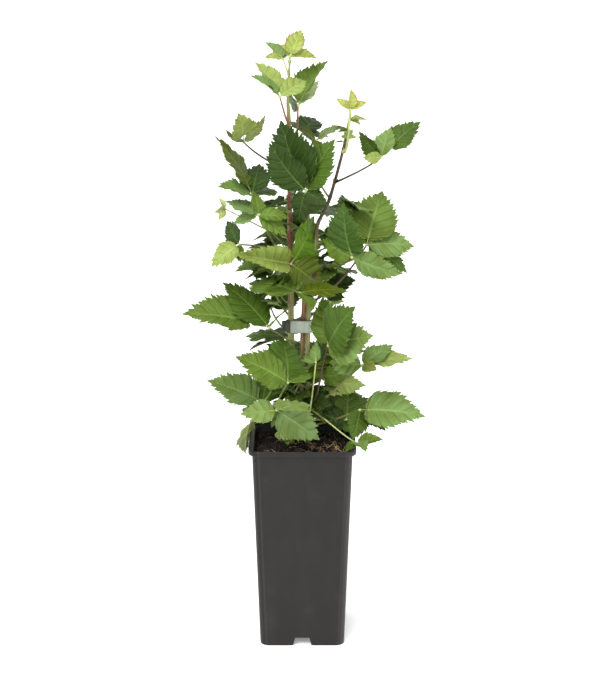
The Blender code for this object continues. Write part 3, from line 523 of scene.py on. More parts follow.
def newMaterial(name, roughness):
    material = bpy.data.materials.new(name)
    material.use_nodes = True
    principled(material)["Roughness"].default_value = roughness
    return material, material.node_tree


def finished(material, shade, height, bump, specular=0.5):
    # The colour, the bump (strength and depth) and the gloss.
    tree, inputs = material.node_tree, principled(material)
    given = {"Height": height, "Strength": bump[0], "Distance": bump[1]}
    tree.links.new(shade, inputs["Base Color"])
    tree.links.new(shaderNode(tree, "Bump", "Normal", given), inputs["Normal"])
    inputs["Specular IOR Level"].default_value = specular
    return material


def shaderNode(tree, kind, output, given, **settings):
    # One node. What it is given is linked where it comes from another node, and set otherwise.
    node = tree.nodes.new("ShaderNode" + kind)
    for name, value in settings.items():
        setattr(node, name, value)
    for socket, value in given.items():
        if isinstance(value, bpy.types.NodeSocket):
            tree.links.new(value, node.inputs[socket])
        else:
            node.inputs[socket].default_value = value
    return node.outputs[output]


def mathNode(tree, operation, *values):
    return shaderNode(tree, "Math", 0, dict(enumerate(values)), operation=operation)


def rangeNode(tree, value, low, high, to=(0.0, 1.0), way="SMOOTHSTEP"):
    given = {"Value": value, "From Min": low, "From Max": high, "To Min": to[0], "To Max": to[1]}
    return shaderNode(tree, "MapRange", "Result", given, interpolation_type=way)


def objectPlace(tree):
    return shaderNode(tree, "TexCoord", "Object", {})


def xyzNode(tree, vector):
    node = tree.nodes.new("ShaderNodeSeparateXYZ")
    tree.links.new(vector, node.inputs[0])
    return node.outputs


def noiseNode(tree, scale, detail=3.0, stretch=(1, 1, 1)):
    place = shaderNode(tree, "Mapping", "Vector", {"Vector": objectPlace(tree), "Scale": stretch})
    return shaderNode(tree, "TexNoise", "Fac", {"Vector": place, "Scale": scale, "Detail": detail})


def mixNode(tree, factor, a, b):
    a, b = (colour if isinstance(colour, bpy.types.NodeSocket) else (*colour, 1.0) for colour in (a, b))
    return shaderNode(tree, "Mix", 2, {0: factor, 6: a, 7: b}, data_type="RGBA")


def laidOver(tree, shade, mask, share, colour):
    # The colour over the shade, by this share of the mask.
    return mixNode(tree, mathNode(tree, "MULTIPLY", mask, share), shade, colour)


def rampNode(tree, value, stops):
    node = tree.nodes.new("ShaderNodeValToRGB")
    ramp = node.color_ramp
    while len(ramp.elements) < len(stops):
        ramp.elements.new(0.5)
    for element, (place, colour) in zip(ramp.elements, stops):
        element.position = place
        element.color = (*linear(*colour), 1.0)
    tree.links.new(value, node.inputs["Fac"])
    return node.outputs["Color"]


def linear(red, green, blue):
    # An everyday 0-255 colour as linear light.
    share = np.array((red, green, blue)) / 255
    light = np.where(share <= 0.04045, share / 12.92, ((share + 0.055) / 1.055) ** 2.4)
    return tuple(float(c) for c in light)


def scaled(colour, shares):
    # Each channel times its share, or all of them times one, up to full white.
    return tuple(float(c) for c in np.minimum(1.0, np.array(colour) * shares))


# The coats that leaves wear: colours (0-255) of the upper side, its veins and the under side. A blade's
# coat sets how light or dark it looks, so the darker and paler coats are partly the leaves' own tone
# and partly painted shade and light.
leafCoats = {
    "d": {"name": "deep", "top": (38, 58, 8), "vein": (90, 120, 52), "under": (92, 112, 56)},
    "m": {"name": "mid", "top": (62, 86, 14), "vein": (112, 142, 68), "under": (110, 130, 62)},
    "b": {"name": "bright", "top": (86, 108, 31), "vein": (134, 164, 82), "under": (124, 142, 70)},
    "o": {"name": "olive", "top": (72, 86, 10), "vein": (122, 138, 48), "under": (112, 126, 60),
          "fleckAt": (12.3, -14.9, 407.5)},
    "g": {"name": "greyed", "top": (102, 126, 58), "vein": (150, 176, 106), "under": (132, 150, 86)},
    "l": {"name": "lime", "top": (150, 164, 76), "vein": (192, 204, 128), "under": (158, 172, 92),
          "edge": (138, 104, 62)},
    "p": {"name": "pale", "top": (134, 150, 68), "vein": (182, 194, 118), "under": (142, 156, 84)},
    "t": {"name": "teal", "top": (54, 80, 22), "vein": (112, 142, 70), "under": (104, 124, 70)},
    "e": {"name": "vivid", "top": (88, 122, 18), "vein": (130, 166, 52), "under": (112, 138, 56)},
    # The silver coat is partly a pale under side and partly painted light on blades in shade.
    "s": {"name": "silverAndLit", "top": (198, 210, 136), "vein": (206, 212, 160), "under": (202, 214, 142)},
    "r": {"name": "blush", "top": (160, 172, 80), "vein": (176, 172, 92), "under": (160, 168, 88),
          "edge": (178, 84, 44)},
}
# Top and under give roughness, relief of the veins and relief of the net.
leafFinish = {
    "top": (0.44, -1.0, -0.35),
    "under": (0.62, 1.0, 0.35),
    "underVein": 1.25,
    "blotchScale": 55,
    "blotchDark": (0.80, 0.77, 0.55),
    # The light blotches turn bluish, partly a painted sheen.
    "blotchLightAndSheen": (1.14, 1.22, 1.60),
    # One flank of each pleat is darkened by this share, a painted shadow.
    "paintedPleatShadow": 0.48,
    "paintedPleatShadowTone": 0.50,
    "netScale": 620,
    "net": 0.16,
    "veins": 0.44,
    "edge": 0.75,
    "fleck": (58, 36, 16),
    "fleckSize": (2.0 * mm, 4.5 * mm),
    "grainScale": 900,
    "grain": 0.25,
    "bump": (0.55, 0.0006),
    "specular": 0.18,
}


def leafMaterial(coat, side):
    # Slow blotches of random tone whose light side is bluish, partly a painted sheen; one flank of each
    # pleat darker, a painted shadow; paler midrib and lateral veins from the UV grid, and a fine net.
    # Some coats have a tinted edge or a withered fleck as well.
    look = leafFinish
    roughness, relief, netRelief = look[side]
    material, tree = newMaterial(coat["name"] + "Leaf" + side.capitalize(), roughness)
    colour = linear(*coat[side])
    vein = linear(*coat["vein"]) if side == "top" else scaled(colour, look["underVein"])
    alongMargin, acrossBlade, _ = xyzNode(tree, shaderNode(tree, "UVMap", "UV", {}, uv_map="leafGrid"))
    pleat = mathNode(tree, "FRACT", alongMargin)
    fromVein = mathNode(tree, "ABSOLUTE", mathNode(tree, "SUBTRACT", pleat, 0.5))
    fromRib = mathNode(tree, "ABSOLUTE", acrossBlade)
    lateral = rangeNode(tree, fromVein, 0.43, 0.49)
    reach = rangeNode(tree, fromRib, 0.15, 1.0, to=(1.0, 0.45))
    rib = rangeNode(tree, fromRib, 0.035, 0.075, to=(1.0, 0.0))
    veins = mathNode(tree, "MAXIMUM", mathNode(tree, "MULTIPLY", lateral, reach), rib)
    cells = {"Vector": objectPlace(tree), "Scale": look["netScale"]}
    net = shaderNode(tree, "TexVoronoi", "Distance", cells, feature="DISTANCE_TO_EDGE")
    net = rangeNode(tree, net, 0.0, 0.16, to=(1.0, 0.0))
    blotch = rangeNode(tree, noiseNode(tree, look["blotchScale"], 4.0), 0.3, 0.7)
    shade = mixNode(tree, blotch, scaled(colour, look["blotchDark"]), scaled(colour, look["blotchLightAndSheen"]))
    # One flank of each pleat darker, a painted shadow.
    paintedPleatShadow = rangeNode(tree, pleat, 0.52, 0.98)
    paintedPleatShadow = mathNode(tree, "MULTIPLY", paintedPleatShadow, rangeNode(tree, fromRib, 0.05, 0.30))
    shade = laidOver(tree, shade, paintedPleatShadow, look["paintedPleatShadow"], scaled(colour, look["paintedPleatShadowTone"]))
    shade = laidOver(tree, shade, net, look["net"], vein)
    shade = laidOver(tree, shade, veins, look["veins"], vein)
    if side == "top" and "edge" in coat:
        edge = rangeNode(tree, fromRib, 0.74, 0.97)
        shade = laidOver(tree, shade, edge, look["edge"], linear(*coat["edge"]))
    if side == "top" and "fleckAt" in coat:
        ends = {0: objectPlace(tree), 1: [part * mm for part in coat["fleckAt"]]}
        away = shaderNode(tree, "VectorMath", "Value", ends, operation="DISTANCE")
        fleck = rangeNode(tree, away, *look["fleckSize"], to=(0.9, 0.0))
        shade = mixNode(tree, fleck, shade, linear(*look["fleck"]))
    height = mathNode(tree, "MULTIPLY_ADD", net, netRelief, mathNode(tree, "MULTIPLY", veins, relief))
    grain = noiseNode(tree, look["grainScale"], 2.0)
    height = mathNode(tree, "MULTIPLY_ADD", grain, look["grain"], height)
    return finished(material, shade, height, look["bump"], look["specular"])


coatCache = {}


def coatMaterials(letter):
    # The two sides of a coat, made once.
    if letter not in coatCache:
        coatCache[letter] = [leafMaterial(leafCoats[letter], side) for side in ("top", "under")]
    return coatCache[letter]


barkFinish = {
    "roughness": 0.36,
    "wobble": 0.16,
    "streak": 0.45,
    # The pale streaks' colour is a painted highlight; the specks are the cane's own.
    "pale": (196, 178, 128),
    "speck": (186, 170, 130),
    "paleShare": 0.22,
    "bump": (0.5, 0.0003),
}


def barkMaterial(name, stops, low, high, blush):
    # Colour by height along the cane, with fine length-wise streaks in the blush and pale streaks of painted
    # highlight.
    look = barkFinish
    material, tree = newMaterial(name, look["roughness"])
    height = rangeNode(tree, xyzNode(tree, objectPlace(tree))[2], low, high, way="LINEAR")
    wobble = mathNode(tree, "SUBTRACT", noiseNode(tree, 60, 3.0), 0.5)
    shade = rampNode(tree, mathNode(tree, "MULTIPLY_ADD", wobble, look["wobble"], height), stops)
    streak = rangeNode(tree, noiseNode(tree, 900, 4.0, (1, 1, 0.06)), 0.35, 0.7)
    shade = laidOver(tree, shade, streak, look["streak"], linear(*blush))
    # Pale length-wise streaks, a painted highlight.
    pale = rangeNode(tree, noiseNode(tree, 700, 3.0, (1, 1, 0.04)), 0.52, 0.68)
    shade = laidOver(tree, shade, pale, look["paleShare"], linear(*look["pale"]))
    speck = rangeNode(tree, noiseNode(tree, 1500, 2.0), 0.60, 0.72)
    shade = laidOver(tree, shade, speck, look["paleShare"], linear(*look["speck"]))
    return finished(material, shade, streak, look["bump"])


def plainMaterial(name, colour, roughness, scale=300, spread=0.15, stretch=(1, 1, 1)):
    # One colour that noise makes darker and lighter by the spread, and a fine bump.
    material, tree = newMaterial(name, roughness)
    noise = noiseNode(tree, scale, 4.0, stretch)
    base = linear(*colour)
    patches = rangeNode(tree, noise, 0.3, 0.7)
    shade = mixNode(tree, patches, scaled(base, 1 - spread), scaled(base, 1 + spread))
    return finished(material, shade, noise, (0.3, 0.0002))


# Some blades are folded along the midrib, or turned on it by a share of the way towards the front.
postures = {
    ("leaf_b3", 0): {"towards": 0.32},
    ("leaf_b3", 1): {"fold": 1.5},
    ("leaf_b3", 2): {"towards": 0.45},
    ("leaf_b8", 0): {"towards": 0.18},
    ("leaf_a10", 0): {"fold": 0.8},
    ("leaf_a4", 0): {"fold": 0.6},
}


def turnedTowards(held, share):
    # The face turned about the midrib, by this share of the angle to the front or to the back,
    # whichever is nearer.
    along, up, left = held
    front = np.array((0.0, -1.0, 0.1))
    front = unit(front - along * (along @ front))
    if front @ up < 0:
        front = -front
    angle = math.atan2(np.cross(up, front) @ along, up @ front) * share
    up = math.cos(angle) * up + math.sin(angle) * np.cross(along, up)
    return along, up, np.cross(up, along)


def addBlade(batch, blade, dice):
    # The upper surface is the blade's grid. The lower one lies under it by the thickness, more under
    # the midrib and nothing at the margin. They take the first and the second material.
    points, uv, v = bladeGrid(blade, dice)
    normal = gridNormals(points)
    if (normal.mean(axis=(0, 1)) @ blade["held"][1]) < 0:
        normal = -normal
    faces = gridFaces(*points.shape[:2])
    a, b, c = points[10, 2], points[10, 3], points[11, 2]
    if np.cross(b - a, c - a) @ normal[10, 2] < 0:
        faces = faces[:, ::-1]
    ribs = 1 + (bladeLook["ribDepth"] / bladeLook["thickness"]) * np.exp(-((v / 0.09) ** 2))
    below = points - normal * (bladeLook["thickness"] * ribs * np.clip((1 - v) * 6, 0, 1))[..., None]
    batch.add(points, faces, uv, 0)
    batch.add(below, faces[:, ::-1], uv, 1)


# Leaves: one piece for each coat, those of the front apart from those of the rear.
plans = {name: leaf for name, leaf in leafPlan.items() if name in nodes}
plans.update(rearPlans())
leafBatches, leafOwners, stalkJobs = {}, {}, []
skipped = 0
for order, (name, leaf) in enumerate(plans.items()):
    spots = nodeSpots(name)
    blades = heldBlades(leaf, spots)
    skipped += len(leaf["blades"]) - len(blades)
    dice = np.random.default_rng(100 + order)
    rear = "rear" if name.startswith("leaf_rear") else ""
    for blade in blades:
        posture = postures.get((name, blade["index"]), {})
        blade["fold"] = posture.get("fold", growth["fold"])
        blade["held"] = turnedTowards(blade["held"], posture.get("towards", 0))
        key = (rear, leaf["coats"][blade["index"]])
        addBlade(leafBatches.setdefault(key, Batch()), blade, dice)
        leafOwners.setdefault(key, set()).add(name)
    stalkJobs.append((name, leaf, blades, heldStalk(leaf, spots)))
print("leaves:", len(plans), "blades missing from the frame:", skipped)
for (rear, letter), batch in leafBatches.items():
    word = leafCoats[letter]["name"]
    title = (rear + word.capitalize() if rear else word) + "Leaves"
    batch.build(title, coatMaterials(letter), sorted(leafOwners[rear, letter]))


# Stalks. A leaf's stalk takes the green tone, or the pale one when young, unless it is tinted.
stalkLook = {
    "petiole": (1.30 * mm, 0.85 * mm),
    "foot": 1.9 * mm,
    "leafletStalk": 0.62 * mm,
    "knot": 1.45 * mm,
    "stipule": 7 * mm,
    "stout": ("leaf_a1", "leaf_c1"),
    "scales": {"stout": 1.15, "small": 0.80},
    "smallUnder": 35,
    "stipuleRadii": (0.42, 0.40, 0.30, 0.18, 0.04),
    "rustKnob": (2.0, 2.2, 2.0, 1.4),
    "tones": {"green": (126, 146, 70), "pale": (168, 180, 110), "olive": (104, 104, 56),
              "red": (142, 88, 62), "dark": (66, 50, 32), "rust": (150, 98, 54)},
    "tinted": {"olive": ("leaf_a7", "leaf_a11", "leaf_a9", "leaf_b3", "leaf_c7", "leaf_c9"),
               "red": ("leaf_a3", "leaf_a4"),
               "dark": ("leaf_c2", "leaf_a5", "leaf_c3", "leaf_c4", "leaf_c6")},
}
toneSlots = {tone: slot for slot, tone in enumerate(stalkLook["tones"])}
toneOf = {name: tone for tone, names in stalkLook["tinted"].items() for name in names}


def addStipules(batch, path, slot, dice):
    # Two thread-like stipules that leave the foot of the leaf stalk and bend upwards with t^2.
    start, way = path[2], unit(path[4] - path[1])
    side = unit(np.cross(way, (0, 0, 1)))
    radii = np.array(stalkLook["stipuleRadii"]) * mm
    for turn in (-1, 1):
        length = stalkLook["stipule"] * dice.uniform(0.7, 1.2)
        t = np.linspace(0, 1, len(radii))[:, None]
        sideways = (side * turn * 0.8 + way * 0.6) * t * length * 0.6
        closedTube(batch, start + sideways + np.array((0, 0, 0.7)) * t**2 * length, radii, 5, slot)


def midribPath(blade, steps):
    # From the hub along the blade's line, sinking with it by droop * s^2 and 0.6 mm under its surface.
    along, up, _ = blade["held"]
    t = np.linspace(0, 1, steps)[:, None]
    reach = blade["stalk"] + 0.82 * blade["length"]
    s = np.maximum(0, t * reach - blade["stalk"]) / blade["length"]
    drop = growth["droop"] * blade["length"] * s**2 + 0.60 * mm * (s > 0)
    return blade["hub"] + along * t * reach - up * drop


stalks = Batch()
dice = np.random.default_rng(17)
for name, leaf, blades, path in stalkJobs:
    veinTone = "pale" if leaf.get("young") else "green"
    tone = toneOf.get(name, veinTone)
    small = leaf.get("young") and leaf["length"] < stalkLook["smallUnder"]
    kind = "stout" if name in stalkLook["stout"] else "small" if small else None
    scale = stalkLook["scales"].get(kind, 1.0)
    radii = np.linspace(*stalkLook["petiole"], len(path)) * scale
    radii[:3] = stalkLook["foot"] * scale, stalkLook["foot"] * 0.9 * scale, stalkLook["petiole"][0] * scale
    closedTube(stalks, path, radii, 8, toneSlots[tone])
    addStipules(stalks, path, toneSlots[veinTone], dice)
    if tone == "dark":
        knob = np.array(stalkLook["rustKnob"]) * mm
        closedTube(stalks, np.linspace(path[0], path[2], len(knob)), knob, 10, toneSlots["rust"])
    hub, way = path[-1], unit(path[-1] - path[-2])
    knot = stalkLook["knot"] * scale
    line = hub + way * knot * np.array((-1.3, -0.6, 0.2, 0.9))[:, None]
    closedTube(stalks, line, knot * np.array((0.7, 1.0, 1.0, 0.6)), 8, toneSlots["pale"])
    for blade in blades:
        stoutness = 0.7 + 0.3 * min(1, blade["length"] / 0.06)
        width = np.linspace(1.0, 0.22, 9) * stalkLook["leafletStalk"] * stoutness
        closedTube(stalks, midribPath(blade, len(width)), width, 6, toneSlots[veinTone])
stalks.build("leafStalks", [plainMaterial("stalk" + tone.capitalize(), colour, 0.5, 400, 0.25, (1, 1, 0.3))
                            for tone, colour in stalkLook["tones"].items()])
print("stalks done")


# Canes: tubes with five ridges, swollen where a leaf stalk leaves them, and thorns on them.
caneLook = {
    "rings": 300,
    "sides": 30,
    "ridge": 0.07,
    "swelling": 0.15,
    "swellingLength": 3.0 * mm,
    "wander": 0.03,
    "tipTaper": (0.98, 0.94, 0.86, 0.72, 0.5, 0.25),
    "thorns": 60,
    "thorn": (0.8, 1.7),
    "thornRadii": (0.5, 0.32, 0.16, 0.03),
    "thornColour": (160, 96, 66),
}
# Bark colours by share of the cane's height.
caneFinish = {
    "cane_a": {"piece": "caneLeft", "blush": (104, 56, 40), "stops": (
        (0.0, (108, 124, 52)), (0.35, (116, 130, 56)), (0.43, (130, 112, 62)), (0.50, (142, 92, 60)),
        (0.62, (126, 74, 52)), (0.80, (138, 92, 60)), (0.88, (136, 150, 76)), (1.0, (162, 174, 96)))},
    "cane_b": {"piece": "caneMiddle", "blush": (112, 66, 42), "stops": (
        (0.0, (100, 108, 50)), (0.30, (110, 104, 54)), (0.44, (150, 102, 60)), (0.62, (186, 120, 72)),
        (0.8, (150, 122, 72)), (1.0, (146, 158, 86)))},
    "cane_c": {"piece": "caneRight", "blush": (76, 50, 40), "stops": (
        (0.0, (108, 114, 54)), (0.40, (122, 126, 64)), (0.58, (128, 132, 68)), (0.68, (92, 84, 52)),
        (0.77, (56, 40, 34)), (0.90, (60, 42, 36)), (0.95, (134, 140, 78)), (1.0, (166, 180, 98)))},
}


def caneWidths(name, path, dice):
    # From the foot's radius to the tip's, times a slow wander, with a bell-shaped swelling at each
    # leaf stalk, and drawn in over the last rings.
    look = caneLook
    count = len(path)
    low, high = caneRadii[name]
    feet = [leaf["foot"] * mm for leaf in plans.values() if leaf["cane"] == name]
    bulge = sum(np.exp(-(((path[:, 2] - foot) / look["swellingLength"]) ** 2)) for foot in feet)
    wander = np.interp(np.linspace(0, 40, count), np.arange(41), dice.normal(0, look["wander"], 41))
    swollen = 0.94 + look["swelling"] * np.minimum(bulge, 1) + wander
    radii = np.linspace(low, high, count) * mm * swollen
    radii[-len(look["tipTaper"]):] *= look["tipTaper"]
    return radii


thorns = Batch()
dice = np.random.default_rng(7)
look = caneLook
for name, finish in caneFinish.items():
    path = smoothPath(caneWays[name], look["rings"]) * mm
    radii = caneWidths(name, path, dice)
    cane = Batch()
    closedTube(cane, path, radii, look["sides"], ridge=look["ridge"])
    bark = barkMaterial(finish["piece"] + "Bark", finish["stops"], path[0, 2], path[-1, 2], finish["blush"])
    cane.build(finish["piece"], [bark], [name])
    for i in dice.integers(6, look["rings"] - 12, look["thorns"]):
        turned = dice.uniform(0, 2 * math.pi)
        out = np.array((math.cos(turned), math.sin(turned), 0.0))
        size = dice.uniform(*look["thorn"]) * mm * (0.6 + 0.4 * radii[i] / radii[0])
        start = path[i] + out * radii[i] * 0.8
        t = np.linspace(0, 1, 4)[:, None]
        curve = start + out * t * size * 1.5 - np.array((0, 0, 1.0)) * t**2 * size * 0.7
        closedTube(thorns, curve, np.array(look["thornRadii"]) * size, 6)
thorns.build("thorns", [plainMaterial("thornTips", look["thornColour"], 0.45)])
print("canes done")


# Young shoots beside the canes: cane, height and reach in mm, compass angle, rise, blade length in
# mm, coat. The first ones are folded buds.
shoots = [
    ("c", 566, 2, 20, 12, 17, "l"), ("c", 556, 1, -140, 30, 12, "b"), ("c", 545, 1, 175, 5, 8, "d"),
    ("c", 548, 2, -60, 55, 15, "l"), ("c", 503, 1, -80, 40, 9, "o"), ("a", 470, 6, -120, 35, 22, "b"),
    ("a", 452, 8, -70, 20, 26, "m"), ("b", 468, 4, -60, 30, 24, "d"), ("a", 405, 14, -165, -5, 34, "m"),
    ("a", 398, 10, -140, -20, 34, "d"), ("c", 420, 4, -20, 30, 26, "d"), ("a", 225, 24, -95, -8, 20, "b"),
    ("c", 446, 8, -25, 8, 30, "d"), ("c", 414, 8, -12, -8, 34, "t"), ("a", 446, 8, -160, 0, 32, "m"),
    ("a", 428, 10, -176, 12, 32, "d"), ("a", 368, 8, -150, 30, 26, "g"), ("b", 300, 8, -80, 50, 22, "l"),
    ("a", 285, 10, -100, 40, 22, "l"),
]
shootRule = {
    "seed": 23,
    "count": 36,
    "heights": (224, 322),
    "lowShare": 0.30,
    "reach": (1, 16),
    "length": (18, 34),
    "rise": (-20, 50),
    "coats": "dmodbmogmt",
    "buds": 5,
    "leaflets": ((0, 1.0), (62, 0.66), (-62, 0.66)),
    "leastForThree": 10,
    "stalkRadii": (0.9, 0.7, 0.6, 0.5),
    "width": 0.70,
    "fold": 0.30,
    "green": (138, 150, 78),
}


def addShoots():
    # More shoots by a seeded rule, most of them low on the canes.
    rule = shootRule
    dice = random.Random(rule["seed"])
    low, high = rule["heights"]
    for order in range(rule["count"]):
        height = dice.triangular(low, high, low + rule["lowShare"] * (high - low))
        reach, azimuth = dice.uniform(*rule["reach"]), dice.uniform(0, 360)
        rise, length = dice.uniform(*rule["rise"]), dice.uniform(*rule["length"])
        shoots.append(("abc"[order % 3], height, reach, azimuth, rise, length, dice.choice(rule["coats"])))


addShoots()
shootBatches, shootStalks = {}, Batch()
rule = shootRule
for order, (cane, height, reach, azimuth, rise, length, letter) in enumerate(shoots):
    dice = np.random.default_rng(400 + order)
    place, radius = caneAt("cane_" + cane, height * mm)
    whole = aimFrame(azimuth, rise, dice.normal(0, 20))
    flat = unit(whole[0] * (1, 1, 0))
    hub = place + flat * (radius + reach * mm) + np.array((0, 0, 0.5 * reach * mm))
    radii = np.array(rule["stalkRadii"]) * mm
    closedTube(shootStalks, np.linspace(place + flat * radius * 0.7, hub, len(radii)), radii, 6)
    for angle, share in rule["leaflets"][: 3 if length > rule["leastForThree"] else 1]:
        blade = {"hub": hub, "held": bladeFrame(whole, angle, 0, 0), "length": length * share * mm,
                 "stalk": 0.04 * length * mm, "width": rule["width"], "angle": angle,
                 "young": order < rule["buds"], "fold": rule["fold"], "columns": shootColumns}
        addBlade(shootBatches.setdefault(letter, Batch()), blade, dice)
shootStalks.build("shootStalks", [plainMaterial("shootGreen", rule["green"], 0.5, 400, 0.25)])
for letter, batch in shootBatches.items():
    batch.build("shoots" + leafCoats[letter]["name"].capitalize(), coatMaterials(letter))
print("shoots done")


# Pot
potLook = {
    "height": 226 * mm,
    "rimHalf": 57.5 * mm,
    "bodyHalf": 53.5 * mm,
    "footHalf": 46.0 * mm,
    "bandLow": 220 * mm,
    "rimInside": 4.4 * mm,
    "bodyCorner": 9.5 * mm,
    "wall": 1.2 * mm,
    "flatHalf": 37 * mm,
    "channelHeight": 9 * mm,
    "channelTop": 8 * mm,
    "channelFoot": 10 * mm,
    "channelFades": 24 * mm,
    "soilLevel": 205 * mm,
    "wallRings": 26,
    "cornerSteps": 9,
    # The rim's rings: half width and height as a name with an offset (mm), and the corner's radius (mm).
    "rimRings": (("body", 0.1, "band", -0.3, 9.8), ("body", 0.9, "band", 0, 10.4),
                 ("rim", -0.6, "band", 0.1, 12.6), ("rim", -0.1, "band", 0.5, 13),
                 ("rim", 0, "band", 1.2, 13), ("rim", 0, "top", -1.0, 13),
                 ("rim", -0.25, "top", -0.3, 13), ("rim", -0.7, "top", 0, 12.6),
                 ("rim", -1.0, "top", -0.1, 12.2), ("rim", -1.2, "top", -0.6, 12),
                 ("rim", -1.25, "inside", 0.5, 12), ("rim", -1.7, "inside", 0, 11.6),
                 ("body", -0.6, "inside", -0.2, 9)),
    # Steps outward across the underside (mm), close together at the channels' sides and the corners.
    "underSteps": (0, 4, 7.9, 8.1, 9.9, 10.1, 16, 24, 30, 34, 37, 39, 41, 43, 44.5),
    # Radius and height (mm) of the centre foot's rings and the drain holes' rings.
    "centreFoot": ((7, 9), (7, 0.3), (6.7, 0), (0.01, 0)),
    "drainRim": ((4.6, 9), (4.4, 8.6), (4.0, 8.6), (4.0, 8.95)),
    "drainFloor": ((4.0, 8.95), (0.01, 8.9)),
    "drainRing": 26 * mm,
}
potLean = (potLook["bodyHalf"] - potLook["footHalf"]) / potLook["bandLow"]


def squareRing(half, corner, flatShares, arcSteps):
    # Going round: along each flat side by share of its half length, then round the corner's arc.
    flat = half - corner
    arcs = np.linspace(0, math.pi / 2, arcSteps + 2)[1:-1]
    one = np.concatenate([
        np.stack([np.full(len(flatShares), half), flatShares * flat], axis=-1),
        np.stack([flat + corner * np.cos(arcs), flat + corner * np.sin(arcs)], axis=-1)])
    quarters = np.arange(4) * math.pi / 2
    turns = [np.array(((math.cos(a), math.sin(a)), (-math.sin(a), math.cos(a)))) for a in quarters]
    return np.vstack([one @ turn for turn in turns])


def roundedCorners(x, y, half, corner):
    # Points beyond the corner's arc are drawn in to it, along the line to the arc's middle.
    flat = half - corner
    dx, dy = np.maximum(abs(x) - flat, 0), np.maximum(abs(y) - flat, 0)
    draw = np.minimum(1, corner / np.maximum(np.hypot(dx, dy), 1e-9))
    x = np.sign(x) * np.where(dx > 0, flat + dx * draw, abs(x))
    return x, np.sign(y) * np.where(dy > 0, flat + dy * draw, abs(y))


def channelHeight(x, y):
    # Two crossed troughs with leaning sides.
    top, foot = potLook["channelTop"], potLook["channelFoot"]
    dip = np.clip((foot - np.minimum(abs(x), abs(y))) / (foot - top), 0, 1)
    return potLook["channelHeight"] * dip


def potShell():
    # Rounded squares stacked from the foot up the leaning wall, over the rim and down the inside. The
    # lowest ones are lifted by the channels' height, which fades out upwards.
    look = potLook
    foot, body, top = look["footHalf"], look["bodyHalf"], look["height"]
    sides = [look["channelTop"] / look["flatHalf"], look["channelFoot"] / look["flatHalf"]]
    steps = [0.1, *sides, 0.4, 0.6, 0.8, 1]
    shares = np.array([-step for step in steps[::-1]] + [0] + steps)
    outer = [(foot - 0.5 * mm, 0.0), (foot - 0.1 * mm, 0.4 * mm)]
    wall = np.linspace(2 * mm, look["bandLow"] - 1.2 * mm, look["wallRings"])
    outer += [(foot + potLean * z, z) for z in wall]
    profile = [(half, z, look["bodyCorner"]) for half, z in outer]
    widths = {"body": body, "rim": look["rimHalf"]}
    heights = {"band": look["bandLow"], "top": top, "inside": top - look["rimInside"]}
    profile += [(widths[wide] + out * mm, heights[high] + up * mm, corner * mm)
                for wide, out, high, up, corner in look["rimRings"]]
    profile += [(body - look["wall"], heights["inside"] - 0.8 * mm, 8.6 * mm),
                (body - look["wall"] - potLean * 16 * mm, look["soilLevel"], 8.4 * mm)]
    rings = []
    for half, z, corner in profile:
        ring = squareRing(half, corner, shares, look["cornerSteps"])
        rise = channelHeight(ring[:, 0], ring[:, 1]) * max(0.0, 1 - z / look["channelFades"])
        rings.append(np.column_stack([ring, np.full(len(ring), z) + rise]))
    rings = np.array(rings)
    return np.concatenate([rings, rings[:, :1]], axis=1)


def potUnderside():
    # A square grid pressed to the troughs' depth, with its corners drawn in to the arc.
    half = potLook["footHalf"] - 0.5 * mm
    steps = potLook["underSteps"]
    line = np.array([-half / mm] + [-step for step in steps[:0:-1]] + [*steps] + [half / mm]) * mm
    x, y = np.meshgrid(line, line, indexing="ij")
    z = channelHeight(x, y)
    x, y = roundedCorners(x, y, half, potLook["bodyCorner"])
    return np.stack([x, y, z], axis=-1)


def turnedForm(x, y, rows, steps=28):
    # Rows of (radius, height) in mm carried round an upright line.
    a = np.linspace(0, 2 * math.pi, steps + 1)
    rows = np.array(rows) * mm
    heights = np.broadcast_to(rows[:, 1:], (len(rows), steps + 1))
    return np.stack([x + rows[:, :1] * np.cos(a), y + rows[:, :1] * np.sin(a), heights], axis=-1)


potFinish = {
    "base": (24, 22, 21),
    "patches": 0.14,
    "scuff": (58, 54, 51),
    "scuffShare": 0.24,
    "paleCorner": (46, 42, 39),
    "darkCorner": (9, 8, 7),
    "cornerShare": 0.85,
    "cornerStarts": 6.5 * mm,
    # The pale line along the corners is a painted highlight.
    "line": (44, 42, 40),
    "specular": 0.30,
}


